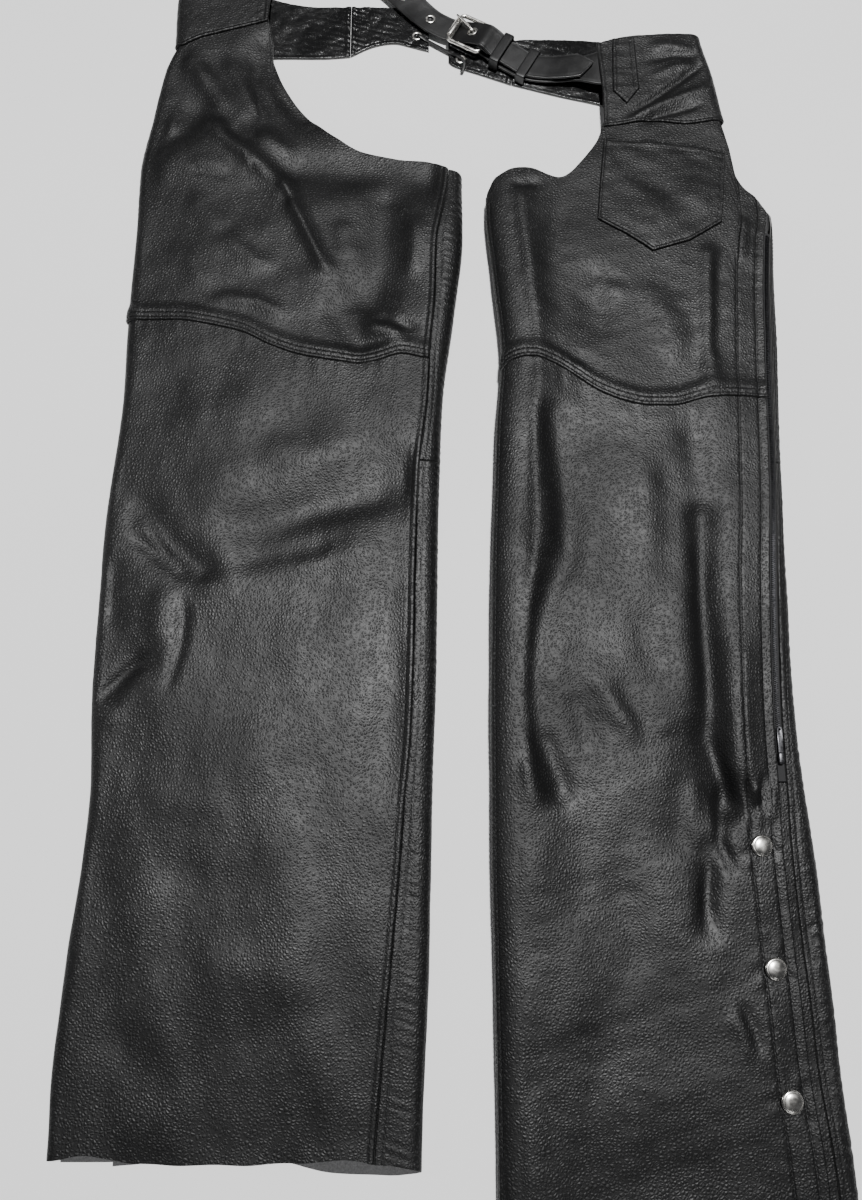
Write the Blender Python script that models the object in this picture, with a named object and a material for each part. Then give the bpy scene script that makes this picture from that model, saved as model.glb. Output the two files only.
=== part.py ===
"""Leather chaps laid out flat with the front up.

Millimetres in the tables, metres in the meshes. +X is the viewer's right, +Y runs from the hems
to the waist, +Z is up from the surface that the chaps lie on. "right" and "left" in names are
the wearer's sides, so the right leg lies at -X.

Every leather piece is an outline drawn on a surface, given a wall of even thickness. A leg's
surface is a flattened tube: the outline's first number is x on the top face, and past an edge
fold it goes on as the distance walked round the fold and along the underside.
"""
import bisect
import math

import bmesh
import bpy
from mathutils import Vector
from mathutils.geometry import delaunay_2d_cdt

for old in list(bpy.data.objects):
    bpy.data.objects.remove(old, do_unlink=True)

MM = 0.001

# Driving sizes
LEATHER = 1.4          # panel wall
STRAP = 2.0            # belt and chape wall
TAPE = 1.0             # zip tape wall
GAP = 0.35             # between two pieces that touch
UNDER_GAP = 0.8        # between a panel and the tape or strip under it
LAP_GAP = 1.0          # between the two panels of a lapped seam
SEAM = 0.4             # between two panels along a seam
LAP = 8.0              # how far a lapped edge covers the piece under it
STEP = 6.0             # length of the ramp up onto a lapped piece
MESH_Y = 30.0          # spacing of the panel meshes along a leg
FOLD_STEPS = 5         # mesh columns round an edge fold
CHANNEL = 6.0          # bare zip between the two leather edges
TAPE_REACH = 7.0       # tape under each leather edge
ZIP_END_Y = -246.0     # low end of the zips
ZIP_TOP_Y = 214.0      # top end of the tapes
BELT_WIDTH = 25.0
SNAP_RADIUS = 7.7
JOIN_Y = 2.0           # where the thigh and shin backs meet
BACK_HEM_DROP = 6.0    # how far the left back hem shows below the front one
STRIP_REACH = 28.0     # snap strip under the front panel
STRIP_LAP = 3.0        # snap strip under the back panel
YOKE_TURN = 6.0        # how far each front yoke reaches under its side fold
CENTRE_X = -3.75       # moves the garment's box centre to the origin
CENTRE_Y = -5.5


def smooth(t):
    t = min(1.0, max(0.0, t))
    return t * t * (3.0 - 2.0 * t)


def lerp(a, b, t):
    return a + (b - a) * t


class Table:
    """Rows of (key, value, ...) read with a smooth curve between the rows."""

    def __init__(self, names, rows):
        self.names = names.split()
        self.rows = sorted(rows)
        self.keys = [row[0] for row in self.rows]

    def slope(self, i, col):
        rows = self.rows
        if i == 0 or i == len(rows) - 1:
            return 0.0
        before = (rows[i][col] - rows[i - 1][col]) / (rows[i][0] - rows[i - 1][0])
        after = (rows[i + 1][col] - rows[i][col]) / (rows[i + 1][0] - rows[i][0])
        if before * after <= 0.0:
            return 0.0
        return 2.0 * before * after / (before + after)

    def read(self, key, name):
        col = self.names.index(name)
        rows = self.rows
        if key <= self.keys[0]:
            return rows[0][col]
        if key >= self.keys[-1]:
            return rows[-1][col]
        i = bisect.bisect_right(self.keys, key) - 1
        span = rows[i + 1][0] - rows[i][0]
        t = (key - rows[i][0]) / span
        a, b = rows[i][col], rows[i + 1][col]
        ma, mb = self.slope(i, col) * span, self.slope(i + 1, col) * span
        return ((2 * t ** 3 - 3 * t ** 2 + 1) * a + (t ** 3 - 2 * t ** 2 + t) * ma
                + (3 * t ** 2 - 2 * t ** 3) * b + (t ** 3 - t ** 2) * mb)


# Legs: y along the leg, the two edges, the height of each edge fold, the height between them
RIGHT_SECTIONS = Table("y left right fold_l fold_r crown", [
    (-512, -277, -28, 13, 13, 12),
    (-444, -279, -26, 14, 14, 15),
    (-370, -276, -23, 15, 16, 16),
    (-259, -270, -21, 15, 17, 17),
    (-171, -276, -18, 15, 18, 18),
    (-44, -277, -16, 16, 19, 19),
    (60, -272, -12, 16, 20, 19),
    (133, -274, -3, 16, 20, 18),
    (209, -274, 5, 15, 20, 17),
    (276, -276, 5, 13, 15, 15),
    (330, -269, 5, 12, 12, 11),
    (388, -261, 5, 12, 12, 11),
    (412, -254, 5, 13, 12, 12),
    (455, -255, 5, 13, 12, 12),
    (530, -250, 5, 13, 12, 12)])
LEFT_SECTIONS = Table("y left right fold_l fold_r crown", [
    (-536, 22, 260, 17, 13, 12),
    (-446, 22, 257, 19, 13, 15),
    (-315, 21, 254, 21, 14, 16),
    (-200, 22, 249, 22, 15, 17),
    (-107, 24, 252, 23, 16, 18),
    (28, 30, 259, 23, 16, 18),
    (100, 35, 264, 23, 16, 17),
    (176, 29, 268, 22, 15, 16),
    (232, 25, 272, 20, 13, 15),
    (270, 26, 262, 17, 12, 13),
    (300, 30, 247, 14, 11, 12),
    (331, 30, 238, 12, 11, 11),
    (375, 30, 232, 12, 12, 12),
    (430, 30, 222, 12, 12, 12)])

# Large folds: height at the middle, half width, and the line that each one follows
RIGHT_FOLDS = [
    (3.0, 9, [(-210, 319), (-179, 286), (-148, 256)]),
    (3.5, 8, [(-148, 256), (-134, 228), (-111, 177)]),
    (-4.0, 17, [(-53, 253), (-71, 226), (-72, 180), (-89, 142)]),
    (-2.5, 12, [(-141, 268), (-95, 268)]),
    (2.5, 11, [(-237, 388), (-215, 366), (-191, 336)]),
    (-3.5, 15, [(-245, -42), (-227, -69), (-199, -89)]),
    (-3.0, 14, [(-239, -160), (-256, -180)]),
    (-4.5, 24, [(-155, -55), (-101, -34), (-46, -13)]),
    (2.5, 22, [(-178, -20), (-172, 40)]),
    (2.0, 30, [(-150, -230), (-120, -380)]),
]
LEFT_FOLDS = [
    (-6.0, 12, [(191, -30), (186, -108), (187, -174), (184, -215), (191, -262)]),
    (3.0, 12, [(206, -150), (203, -235)]),
    (-3.0, 10, [(175, -298), (172, -344)]),
    (2.5, 16, [(51, 240), (54, 147), (54, 12), (46, -111), (40, -202)]),
    (-4.5, 17, [(83, -20), (80, -79), (68, -110)]),
    (-3.5, 16, [(60, -215), (72, -256)]),
    (2.5, 8, [(212, 190), (205, 72)]),
]


def distance_to_line(x, y, line):
    best = 1e9
    for (x0, y0), (x1, y1) in zip(line, line[1:]):
        dx, dy = x1 - x0, y1 - y0
        t = max(0.0, min(1.0, ((x - x0) * dx + (y - y0) * dy) / (dx * dx + dy * dy)))
        best = min(best, math.hypot(x - x0 - t * dx, y - y0 - t * dy))
    return best


class Leg:
    """The outer skin of one leg, flattened, with the hip that continues it."""

    def __init__(self, sections, folds, round_l, round_r, lift=None):
        self.sections = sections
        self.folds = folds
        self.round_l = round_l        # fold's half width as a share of its height
        self.round_r = round_r
        self.lift = lift              # raises the underside over the snaps and the slider

    def edges(self, y):
        read = self.sections.read
        left, right = read(y, "left"), read(y, "right")
        fold_l, fold_r = read(y, "fold_l"), read(y, "fold_r")
        wide_l, wide_r = fold_l * self.round_l, fold_r * self.round_r
        return left + wide_l, right - wide_r, fold_l, fold_r, wide_l, wide_r

    def arc(self, height, wide):
        return math.pi * math.sqrt((height * height / 4.0 + wide * wide) / 2.0)

    def fold_start(self, y, side):
        left, right = self.edges(y)[:2]
        return left if side < 0 else right

    def fold_arc(self, y, side):
        _, _, fold_l, fold_r, wide_l, wide_r = self.edges(y)
        return self.arc(fold_l, wide_l) if side < 0 else self.arc(fold_r, wide_r)

    def under_from_right(self, x, y):
        """Outline coordinate of a place on the underside, walked to from the right fold."""
        return self.fold_start(y, 1) + self.fold_arc(y, 1) + (self.fold_start(y, 1) - x)

    def relief(self, x, y):
        total = 0.0
        for height, width, line in self.folds:
            d = distance_to_line(x, y, line) / width
            if d < 3.0:
                total += height * math.exp(-d * d)
        return total

    def top(self, x, y):
        left, right, fold_l, fold_r, _, _ = self.edges(y)
        t = (x - left) / (right - left)
        base = lerp(fold_l, fold_r, smooth(t))
        shoulder = smooth(t / 0.25) * smooth((1.0 - t) / 0.25)
        fade = smooth(t / 0.06) * smooth((1.0 - t) / 0.06)
        crown = self.sections.read(y, "crown")
        return base + (crown - base) * shoulder + self.relief(x, y) * fade

    def at(self, u, y):
        left, right, fold_l, fold_r, wide_l, wide_r = self.edges(y)
        arc_l, arc_r = self.arc(fold_l, wide_l), self.arc(fold_r, wide_r)
        flat = right - left
        s = (u - left) % (2.0 * flat + arc_l + arc_r)
        if s <= flat:
            x = left + s
            return Vector((x, y, self.top(x, y)))
        if s <= flat + arc_r:
            angle = math.pi * (s - flat) / arc_r
            x = right + wide_r * math.sin(angle)
            return Vector((x, y, self.side(x, y, fold_r, angle, right)))
        if s <= 2.0 * flat + arc_r:
            x = right - (s - flat - arc_r)
            return Vector((x, y, self.under(x, y)))
        angle = math.pi * (2.0 * flat + arc_r + arc_l - s) / arc_l
        x = left - wide_l * math.sin(angle)
        return Vector((x, y, self.side(x, y, fold_l, angle, left)))

    def side(self, x, y, height, angle, start):
        low = self.under(start, y)
        return low + (height - low) * 0.5 * (1.0 + math.cos(angle))

    def under(self, x, y):
        return self.lift(x, y, self.fold_start(y, -1)) if self.lift else 0.0


def zip_lift(x, y, start):
    """The right leg's zip and snaps lie underneath and hold the leather up by a snap's height."""
    return 3.6 * smooth((x - start + 26.0) / 14.0) * smooth((start + 64.0 - x) / 18.0)


class Flat:
    """The surface that the chaps lie on."""

    def at(self, x, y):
        return Vector((x, y, 0.0))


class Ribbon:
    """A strap: u runs along its centre line and v across it."""

    def __init__(self, points, banks=None):
        self.points = [Vector(p) for p in points]
        self.banks = banks or [0.0] * len(points)
        self.fine = []
        steps = 12
        count = len(self.points)
        for i in range(count - 1):
            p0 = self.points[max(0, i - 1)]
            p1, p2 = self.points[i], self.points[i + 1]
            p3 = self.points[min(count - 1, i + 2)]
            for k in range(steps):
                self.fine.append((self.spline(p0, p1, p2, p3, k / steps),
                                  lerp(self.banks[i], self.banks[i + 1], smooth(k / steps))))
        self.fine.append((self.points[-1], self.banks[-1]))
        self.walk = [0.0]
        for (a, _), (b, _) in zip(self.fine, self.fine[1:]):
            self.walk.append(self.walk[-1] + (b - a).length)
        self.length = self.walk[-1]
        self.sides = []
        for i in range(len(self.fine)):
            way = self.fine[min(len(self.fine) - 1, i + 1)][0] - self.fine[max(0, i - 1)][0]
            flat = Vector((-way.y, way.x, 0.0))
            if self.sides and flat.length < 0.4 * way.length:
                flat = self.sides[-1].copy()
            flat.normalize()
            if self.sides and flat.dot(self.sides[-1]) < 0.0:
                flat = -flat
            self.sides.append(flat)

    @staticmethod
    def spline(p0, p1, p2, p3, t):
        return 0.5 * (2.0 * p1 + (p2 - p0) * t + (2.0 * p0 - 5.0 * p1 + 4.0 * p2 - p3) * t * t
                      + (3.0 * p1 - p0 - 3.0 * p2 + p3) * t ** 3)

    def centre(self, u):
        u = min(self.length, max(0.0, u))
        i = min(len(self.walk) - 2, max(0, bisect.bisect_right(self.walk, u) - 1))
        t = (u - self.walk[i]) / max(1e-6, self.walk[i + 1] - self.walk[i])
        place = self.fine[i][0].lerp(self.fine[i + 1][0], t)
        return place, lerp(self.fine[i][1], self.fine[i + 1][1], t), self.sides[i].lerp(self.sides[i + 1], t)

    def at(self, u, v):
        place, bank, across = self.centre(u)
        way = (self.centre(u + 1.0)[0] - self.centre(u - 1.0)[0]).normalized()
        past = min(0.0, u) + max(0.0, u - self.length)
        tilt = math.radians(bank)
        across = across * math.cos(tilt) + way.cross(across) * math.sin(tilt)
        return place + way * past + across * v

    def nearest(self, x, y):
        best = min(range(len(self.fine)), key=lambda i: (self.fine[i][0].xy - Vector((x, y))).length)
        return self.walk[best]


def normal_at(surface, u, v):
    d = 0.6
    du = surface.at(u + d, v) - surface.at(u - d, v)
    dv = surface.at(u, v + d) - surface.at(u, v - d)
    return du.cross(dv).normalized()


def new_object(name, mesh, material):
    mesh.materials.append(material)
    thing = bpy.data.objects.new(name, mesh)
    bpy.context.scene.collection.objects.link(thing)
    return thing


def make_mesh(name, verts, faces, material, smooth_shade=True):
    mesh = bpy.data.meshes.new(name)
    shift = Vector((CENTRE_X, CENTRE_Y, 0.0))
    mesh.from_pydata([(v - shift) * MM for v in verts], [], faces)
    work = bmesh.new()
    work.from_mesh(mesh)
    if work.calc_volume(signed=True) < 0.0:
        bmesh.ops.reverse_faces(work, faces=work.faces)
    work.to_mesh(mesh)
    work.free()
    if smooth_shade:
        mesh.shade_smooth()
        mesh.set_sharp_from_angle(angle=math.radians(40.0))
    return new_object(name, mesh, material)


def resample(line, spacing):
    """Points along a line, with its own corners kept."""
    out = [line[0]]
    for (x0, y0), (x1, y1) in zip(line, line[1:]):
        count = max(1, round(math.hypot(x1 - x0, y1 - y0) / spacing))
        for k in range(1, count + 1):
            out.append((lerp(x0, x1, k / count), lerp(y0, y1, k / count)))
    return out


def curve_line(points, steps=3):
    """A smooth line through hand-placed points."""
    ribbon = Ribbon([(x, y, 0.0) for x, y in points])
    count = steps * (len(points) - 1)
    return [tuple(ribbon.centre(ribbon.length * k / count)[0].xy) for k in range(count + 1)]


def inside(x, y, loop):
    hit = False
    for (x0, y0), (x1, y1) in zip(loop, loop[1:] + loop[:1]):
        if (y0 > y) != (y1 > y) and x < x0 + (y - y0) * (x1 - x0) / (y1 - y0):
            hit = not hit
    return hit


def clear_of(x, y, loop, gap):
    return distance_to_line(x, y, loop + loop[:1]) > gap


def triangulate(loops, inner, margin, unroll):
    """Triangles over the first loop with the other loops as holes, as points and index triples.

    unroll gives the plane in which the triangles are chosen."""
    points = []
    rings = []
    for loop in loops:
        rings.append(list(range(len(points), len(points) + len(loop))))
        points.extend(loop)
    for u, v in inner:
        if inside(u, v, loops[0]) and clear_of(u, v, loops[0], margin):
            if not any(inside(u, v, hole) or not clear_of(u, v, hole, 3.0) for hole in loops[1:]):
                points.append((u, v))
    plane = [Vector(unroll(u, v)) for u, v in points]
    flat, _, triangles, source, _, _ = delaunay_2d_cdt(plane, [], rings, 1, 1e-4)
    places = [points[origin[0]] for origin in source]
    keep = []
    for tri in triangles:
        u = sum(places[i][0] for i in tri) / 3.0
        v = sum(places[i][1] for i in tri) / 3.0
        if any(inside(u, v, hole) for hole in loops[1:]):
            continue
        a, b, c = (flat[i] for i in tri)
        keep.append(tuple(tri) if (b - a).cross(c - a) > 0.0 else tuple(reversed(tri)))
    used = sorted({i for tri in keep for i in tri})
    number = {old: new for new, old in enumerate(used)}
    return [places[i] for i in used], [tuple(number[i] for i in tri) for tri in keep]


def sheet(name, surface, outline, material, wall=LEATHER, offset=0.0, inner=(), holes=(), margin=5.0,
          unroll=lambda u, v: (u, v)):
    """A closed leather piece. outline and holes are loops of (u, v); inner are points inside it.

    offset is how far the outer face stands off the surface: a number, or a function of (u, v).
    """
    loops = [[tuple(p) for p in loop] for loop in [outline, *holes]]
    points, triangles = triangulate(loops, inner, margin, unroll)
    outer, within = [], []
    for u, v in points:
        off = offset(u, v) if callable(offset) else offset
        place = surface.at(u, v)
        normal = normal_at(surface, u, v)
        outer.append(place + normal * off)
        within.append(place + normal * (off - wall))
    count = len(points)
    edges = {edge for a, b, c in triangles for edge in ((a, b), (b, c), (c, a))}
    faces = triangles + [(c + count, b + count, a + count) for a, b, c in triangles]
    for a, b in sorted(edges):
        if (b, a) not in edges:
            faces.append((b, a, a + count))
            faces.append((b, a + count, b + count))
    return make_mesh(name, outer + within, faces, material)


def lattice(columns, low, high, spacing=0.0):
    """Inner points: columns are functions of y, or plain x values. The rows are shared by all the
    leg's pieces, unless a spacing is given."""
    if spacing:
        rows = max(1, round((high - low) / spacing))
        ys = [lerp(low, high, k / rows) for k in range(1, rows)]
    else:
        ys = [k * MESH_Y for k in range(math.ceil(low / MESH_Y), math.floor(high / MESH_Y) + 1)]
    return [(column(y) if callable(column) else column, y) for y in ys for column in columns]


def fold_columns(leg, side, low=0.0, high=1.0):
    """Columns that follow an edge fold, from the top face round to the underside."""
    out = []
    for k in range(FOLD_STEPS + 1):
        share = k / FOLD_STEPS
        if low <= share <= high:
            out.append(lambda y, s=share: leg.fold_start(y, side) + side * s * leg.fold_arc(y, side))
    return out


def top_columns(leg, count):
    """Even columns across the top face between the two folds."""
    return [lambda y, t=k / count: lerp(leg.fold_start(y, -1), leg.fold_start(y, 1), t)
            for k in range(1, count)]


def under_columns(leg, count):
    """Even columns across the underside, walked to round the right fold."""
    return [lambda y, t=k / count: leg.under_from_right(
        lerp(leg.fold_start(y, 1), leg.fold_start(y, -1), t), y) for k in range(1, count)]


def along(function, low, high, shift=0.0):
    """A line of (function(y) + shift, y) from low to high, with stations on the shared rows."""
    first, last = min(low, high), max(low, high)
    ys = [k * MESH_Y for k in range(math.ceil((first + 4.0) / MESH_Y), math.floor((last - 4.0) / MESH_Y) + 1)]
    ys = [first] + ys + [last]
    if high < low:
        ys.reverse()
    return [(function(y) + shift, y) for y in ys]


def leather(name, colour=(0.012, 0.012, 0.013), roughness=0.42, metallic=0.0):
    material = bpy.data.materials.new(name)
    material.use_nodes = True
    shader = material.node_tree.nodes["Principled BSDF"]
    shader.inputs["Base Color"].default_value = (*colour, 1.0)
    shader.inputs["Roughness"].default_value = roughness
    shader.inputs["Metallic"].default_value = metallic
    material.diffuse_color = (*colour, 1.0)
    return material


BLACK = leather("black_leather")
STRAP_BLACK = leather("strap_leather", (0.010, 0.010, 0.011), 0.36)
TAPE_BLACK = leather("zip_tape", (0.015, 0.015, 0.016), 0.8)
NICKEL = leather("nickel", (0.72, 0.70, 0.67), 0.22, 1.0)
ZIP_METAL = leather("zip_metal", (0.10, 0.10, 0.11), 0.35, 1.0)


# The wearer's right leg
RIGHT = Leg(RIGHT_SECTIONS, RIGHT_FOLDS, 0.55, 0.75, zip_lift)
RIGHT_INSEAM = Table("y x", [
    (-512, -60), (-432, -55), (-365, -49), (-304, -44), (-259, -41), (-213, -37), (-156, -35),
    (-86, -34), (-12, -32), (57, -25), (102, -23), (148, -19), (205, -17), (230, -13), (276, -7)])
RIGHT_KNEE = Table("x y", [
    (-300, 128), (-234, 127), (-207, 123), (-178, 116), (-152, 103), (-126, 94), (-99, 89),
    (-81, 87), (-64, 90), (-46, 95), (-22, 91)])
RIGHT_SCOOP = [(-7, 276), (-24, 285), (-50, 288), (-84, 297), (-103, 309), (-120, 323),
               (-142, 348), (-157, 374), (-166, 398), (-171, 436)]
# Hems: u is the outline coordinate of the panel that ends there
RIGHT_HEM = Table("u y", [
    (-300, -494), (-274, -491.8), (-252, -488.8), (-235, -490.5), (-217, -493.8), (-190, -494.5),
    (-150, -494.5), (-125, -494), (-112, -493.8), (-95, -492.2), (-81, -491.6), (-68, -492.4),
    (-60, -493.8), (-30, -495)])
RIGHT_BACK_HEM = Table("u y", [
    (-62, -494.5), (-45, -496), (-30, -499), (-15, -502.5), (0, -504), (15, -503.8), (40, -502),
    (58, -499), (72, -496.2), (100, -495.5), (150, -495.5), (172, -496.5), (190, -498), (212, -498.5),
    (240, -497)])

# The wearer's left leg
LEFT = Leg(LEFT_SECTIONS, LEFT_FOLDS, 1.0, 0.65)
LEFT_ZIP_EDGE = Table("y x", [
    (-532, 240), (-505, 239), (-441, 234), (-361, 231), (-296, 229), (-254, 230), (-201, 231),
    (-146, 234), (-89, 238), (-47, 242), (4, 246), (60, 249), (91, 251), (147, 255), (204, 261),
    (232, 266)])
LEFT_KNEE = Table("x y", [
    (10, 78), (34, 82), (44, 88), (58, 91), (77, 86), (96, 75), (115, 62), (134, 54), (153, 50),
    (173, 50), (189, 54), (201, 57), (224, 58), (260, 57)])
LEFT_SCOOP = [(131, 322), (126, 311), (119, 299), (108, 284), (99, 274), (90, 269), (79, 271),
              (64, 277), (48, 275), (36, 266), (27, 252)]
PLACKET_END = {"right": -494.0, "left": -528.0}


def right_inseam(y):
    return RIGHT_INSEAM.read(y, "x")


def left_inseam(y):
    """On the left leg the inseam runs along the edge fold, a little above its middle."""
    return LEFT.fold_start(y, -1) - 0.42 * LEFT.fold_arc(y, -1)


def right_zip_edge(y):
    """Front panel's edge at the zip, turned under the edge fold."""
    turned = lerp(30.0, 14.0, smooth((y + 250.0) / 120.0))
    return RIGHT.fold_start(y, -1) - RIGHT.fold_arc(y, -1) - turned


def right_zip_back(y):
    """Back panel's edge at the zip, walked to round the right fold."""
    x = RIGHT.fold_start(y, -1) + (RIGHT.fold_start(y, -1) - RIGHT.fold_arc(y, -1)
                                   - right_zip_edge(y)) + CHANNEL
    return RIGHT.under_from_right(x, y)


def left_zip_edge(y):
    return LEFT_ZIP_EDGE.read(y, "x")


def left_zip_back(y):
    return left_zip_edge(y) + CHANNEL


def right_hem(u):
    return RIGHT_HEM.read(u, "y")


def right_back_hem(u):
    return RIGHT_BACK_HEM.read(u, "y")


def left_hem(u):
    return -527.0 + 2.0 * math.sin(u / 45.0)


def left_back_hem(u):
    return left_hem(u) - BACK_HEM_DROP


def stations(columns, y, first, last):
    """Where the mesh columns cross a line, from first to last, with both ends."""
    low, high = min(first, last) + 4.0, max(first, last) - 4.0
    places = sorted(c(y) for c in columns if low < c(y) < high)
    if last < first:
        places.reverse()
    return [first] + places + [last]


def band_rise(knee):
    """Extra height of a front panel's lower edge where it laps over the shin panel."""
    def rise(u, y):
        return (LEATHER + LAP_GAP) * smooth((knee.read(u, "y") + LAP + STEP - y) / STEP)
    return rise


def front_panels(side, leg, knee, inseam, zip_edge, upper, hem, columns):
    """Thigh and shin fronts. upper is the outline from the inseam round the hip to the zip."""
    def knee_u(u):
        return knee.read(u, "y")

    y_in = knee_u(inseam(90.0))
    y_zip = knee_u(zip_edge(90.0))
    half = SEAM / 2.0 if zip_edge(90.0) < inseam(90.0) else -SEAM / 2.0
    places = stations(columns, 0.5 * (y_in + y_zip), zip_edge(y_zip), inseam(y_in) - half)[1:-1]
    knee_line = [(u, knee_u(u)) for u in places]
    lap_rows = [[(u, y + reach) for u, y in knee_line] for reach in (0.0, LAP, LAP + STEP)]
    in_ends = [(inseam(y_in + reach) - half, y_in + reach) for reach in (0.0, LAP)]
    zip_ends = [(zip_edge(y_zip + reach), y_zip + reach) for reach in (0.0, LAP)]

    def level(u, y):
        return u + 0.05 * (y - knee_u(u)), y - knee_u(u)

    thigh = in_ends[:1] + along(inseam, y_in + LAP, upper[0][1], shift=-half)[:-1] + upper
    thigh += along(zip_edge, upper[-1][1], y_zip + LAP)[1:-1] + zip_ends[::-1] + lap_rows[0]
    body = [p for p in lattice(columns, 60.0, 540.0) if p[1] > knee_u(p[0]) + LAP + STEP + 12.0]
    inner = lap_rows[1] + lap_rows[2] + body
    sheet(side + "_thigh_front", leg, thigh, BLACK, offset=band_rise(knee), inner=inner, margin=1.6,
          unroll=level)

    places = stations(columns, -500.0, inseam(-500.0) - half, zip_edge(-500.0))
    bottom = [(u, hem(u)) for u in places]
    shin = along(zip_edge, bottom[-1][1], zip_ends[0][1])[:-1] + zip_ends + lap_rows[1] + in_ends[::-1]
    shin += along(inseam, y_in, bottom[0][1], shift=-half)[1:-1] + bottom[:-1]
    body = [p for p in lattice(columns, -520.0, 130.0) if p[1] < knee_u(p[0]) - 10.0]
    sheet(side + "_shin_front", leg, shin, BLACK, inner=body + lap_rows[0], margin=1.6, unroll=level)


def back_panels(side, leg, inseam_back, zip_back, top_line, hem, columns):
    """Thigh and shin backs, from the zip round the underside to the inseam."""
    join_line = [(u, JOIN_Y) for u in stations(columns, JOIN_Y, inseam_back(JOIN_Y), zip_back(JOIN_Y))]
    thigh = along(zip_back, JOIN_Y + SEAM, top_line[0][1])[:-1] + top_line
    thigh += along(inseam_back, top_line[-1][1], JOIN_Y + SEAM)[1:]
    thigh += [(u, y + SEAM) for u, y in join_line[1:-1]]
    sheet(side + "_thigh_back", leg, thigh, BLACK, inner=lattice(columns, JOIN_Y, 262.0), margin=3.5)
    places = stations(columns, -505.0, inseam_back(-505.0), zip_back(-505.0))
    bottom = [(u, hem(u)) for u in places]
    shin = along(zip_back, bottom[-1][1], JOIN_Y) + list(reversed(join_line))[1:-1]
    shin += along(inseam_back, JOIN_Y, bottom[0][1]) + bottom[1:-1]
    sheet(side + "_shin_back", leg, shin, BLACK, inner=lattice(columns, -510.0, JOIN_Y), margin=3.5)


def build_right_leg():
    yoke_side = (-246, 408)
    seam = curve_line([RIGHT_SCOOP[-1], (-200, 428), (-227, 418), yoke_side])
    lapped = [(u, y + LAP) for u, y in seam]
    free = curve_line([lapped[-1], (-262, 388), (-270, 349), (-281, 310), (-292, 275),
                       (right_zip_edge(245.0), 245.0)])
    scoop = curve_line(RIGHT_SCOOP[:-1], 1)
    start = (right_inseam(scoop[0][1]) - SEAM / 2.0, scoop[0][1])
    upper = [start] + scoop[1:] + lapped + free[1:]
    columns = top_columns(RIGHT, 13) + fold_columns(RIGHT, -1)
    front_panels("right", RIGHT, RIGHT_KNEE, right_inseam, right_zip_edge, upper, right_hem, columns)

    def inseam_back(y):
        return right_inseam(y) + SEAM / 2.0

    start_u, end_u = right_zip_back(242.0), inseam_back(275.0)
    columns = under_columns(RIGHT, 5) + fold_columns(RIGHT, 1)
    top_line = []
    for u in stations(columns, 255.0, start_u, end_u):
        share = (start_u - u) / (start_u - end_u)
        top_line.append((u, 242.0 + 33.0 * smooth((share - 0.72) / 0.28)))
    back_panels("right", RIGHT, inseam_back, right_zip_back, top_line, right_back_hem, columns)
    return seam


def build_left_leg():
    seam = curve_line([LEFT_SCOOP[0], (150, 325), (170, 328), (190, 326), (207, 325), (233, 329)])
    lapped = [(u, y + LAP) for u, y in seam]
    side = curve_line([lapped[-1], (236, 320), (238, 299), (241, 270), (247, 257), (258, 247),
                       (left_zip_edge(232.0), 232.0)])
    scoop = curve_line(list(reversed(LEFT_SCOOP))[:-1], 1)
    first = (left_inseam(scoop[0][1]) + SEAM / 2.0, scoop[0][1] - 4.0)
    upper = [first] + scoop + lapped + side[1:]
    columns = top_columns(LEFT, 12) + fold_columns(LEFT, -1, 0.0, 0.3)
    front_panels("left", LEFT, LEFT_KNEE, left_inseam, left_zip_edge, upper, left_hem, columns)

    def inseam_back(y):
        total = LEFT.under_from_right(LEFT.fold_start(y, -1), y)
        return total + 0.58 * LEFT.fold_arc(y, -1) - SEAM / 2.0

    start_u, end_u = left_zip_back(236.0), inseam_back(250.0)
    columns = under_columns(LEFT, 5) + fold_columns(LEFT, 1) + [
        lambda y, s=s: LEFT.under_from_right(LEFT.fold_start(y, -1), y) + s * LEFT.fold_arc(y, -1)
        for s in (0.0, 0.2, 0.4)]
    top_line = [(start_u, 222.0), (start_u + 3.0, 234.0)]
    for u in stations(columns, 245.0, start_u + 7.0, end_u):
        top_line.append((u, lerp(243.0, 250.0, (u - start_u) / (end_u - start_u))))
    back_panels("left", LEFT, inseam_back, left_zip_back, top_line, left_back_hem, columns)
    return seam


def strip(name, leg, first, last, low, high, wall, material):
    """A narrow piece under the panels along the zip, between two lines."""
    out = along(first, low, high) + along(last, high, low)
    columns = top_columns(leg, 13 if leg is RIGHT else 12) + fold_columns(leg, -1) + fold_columns(leg, 1)
    columns += [lambda y: 0.5 * (first(y) + last(y))] if leg is RIGHT else []
    return sheet(name, leg, out, material, wall=wall, offset=-(LEATHER + UNDER_GAP),
                 inner=lattice(columns, low, high), margin=2.5)


ZIP_SIDES = (("right", RIGHT, right_zip_edge, -1), ("left", LEFT, left_zip_edge, 1))


def build_zips():
    for side, leg, edge, sign in ZIP_SIDES:
        def beside(reach, edge=edge, sign=sign):
            return lambda y: edge(y) + sign * reach

        strip(side + "_zip_tape", leg, beside(-TAPE_REACH), beside(CHANNEL + TAPE_REACH),
              ZIP_END_Y, ZIP_TOP_Y, TAPE, TAPE_BLACK)
        strip(side + "_snap_strip", leg, beside(-STRIP_REACH), beside(CHANNEL + STRIP_LAP),
              PLACKET_END[side], ZIP_END_Y - 1.0, LEATHER, BLACK)


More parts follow.
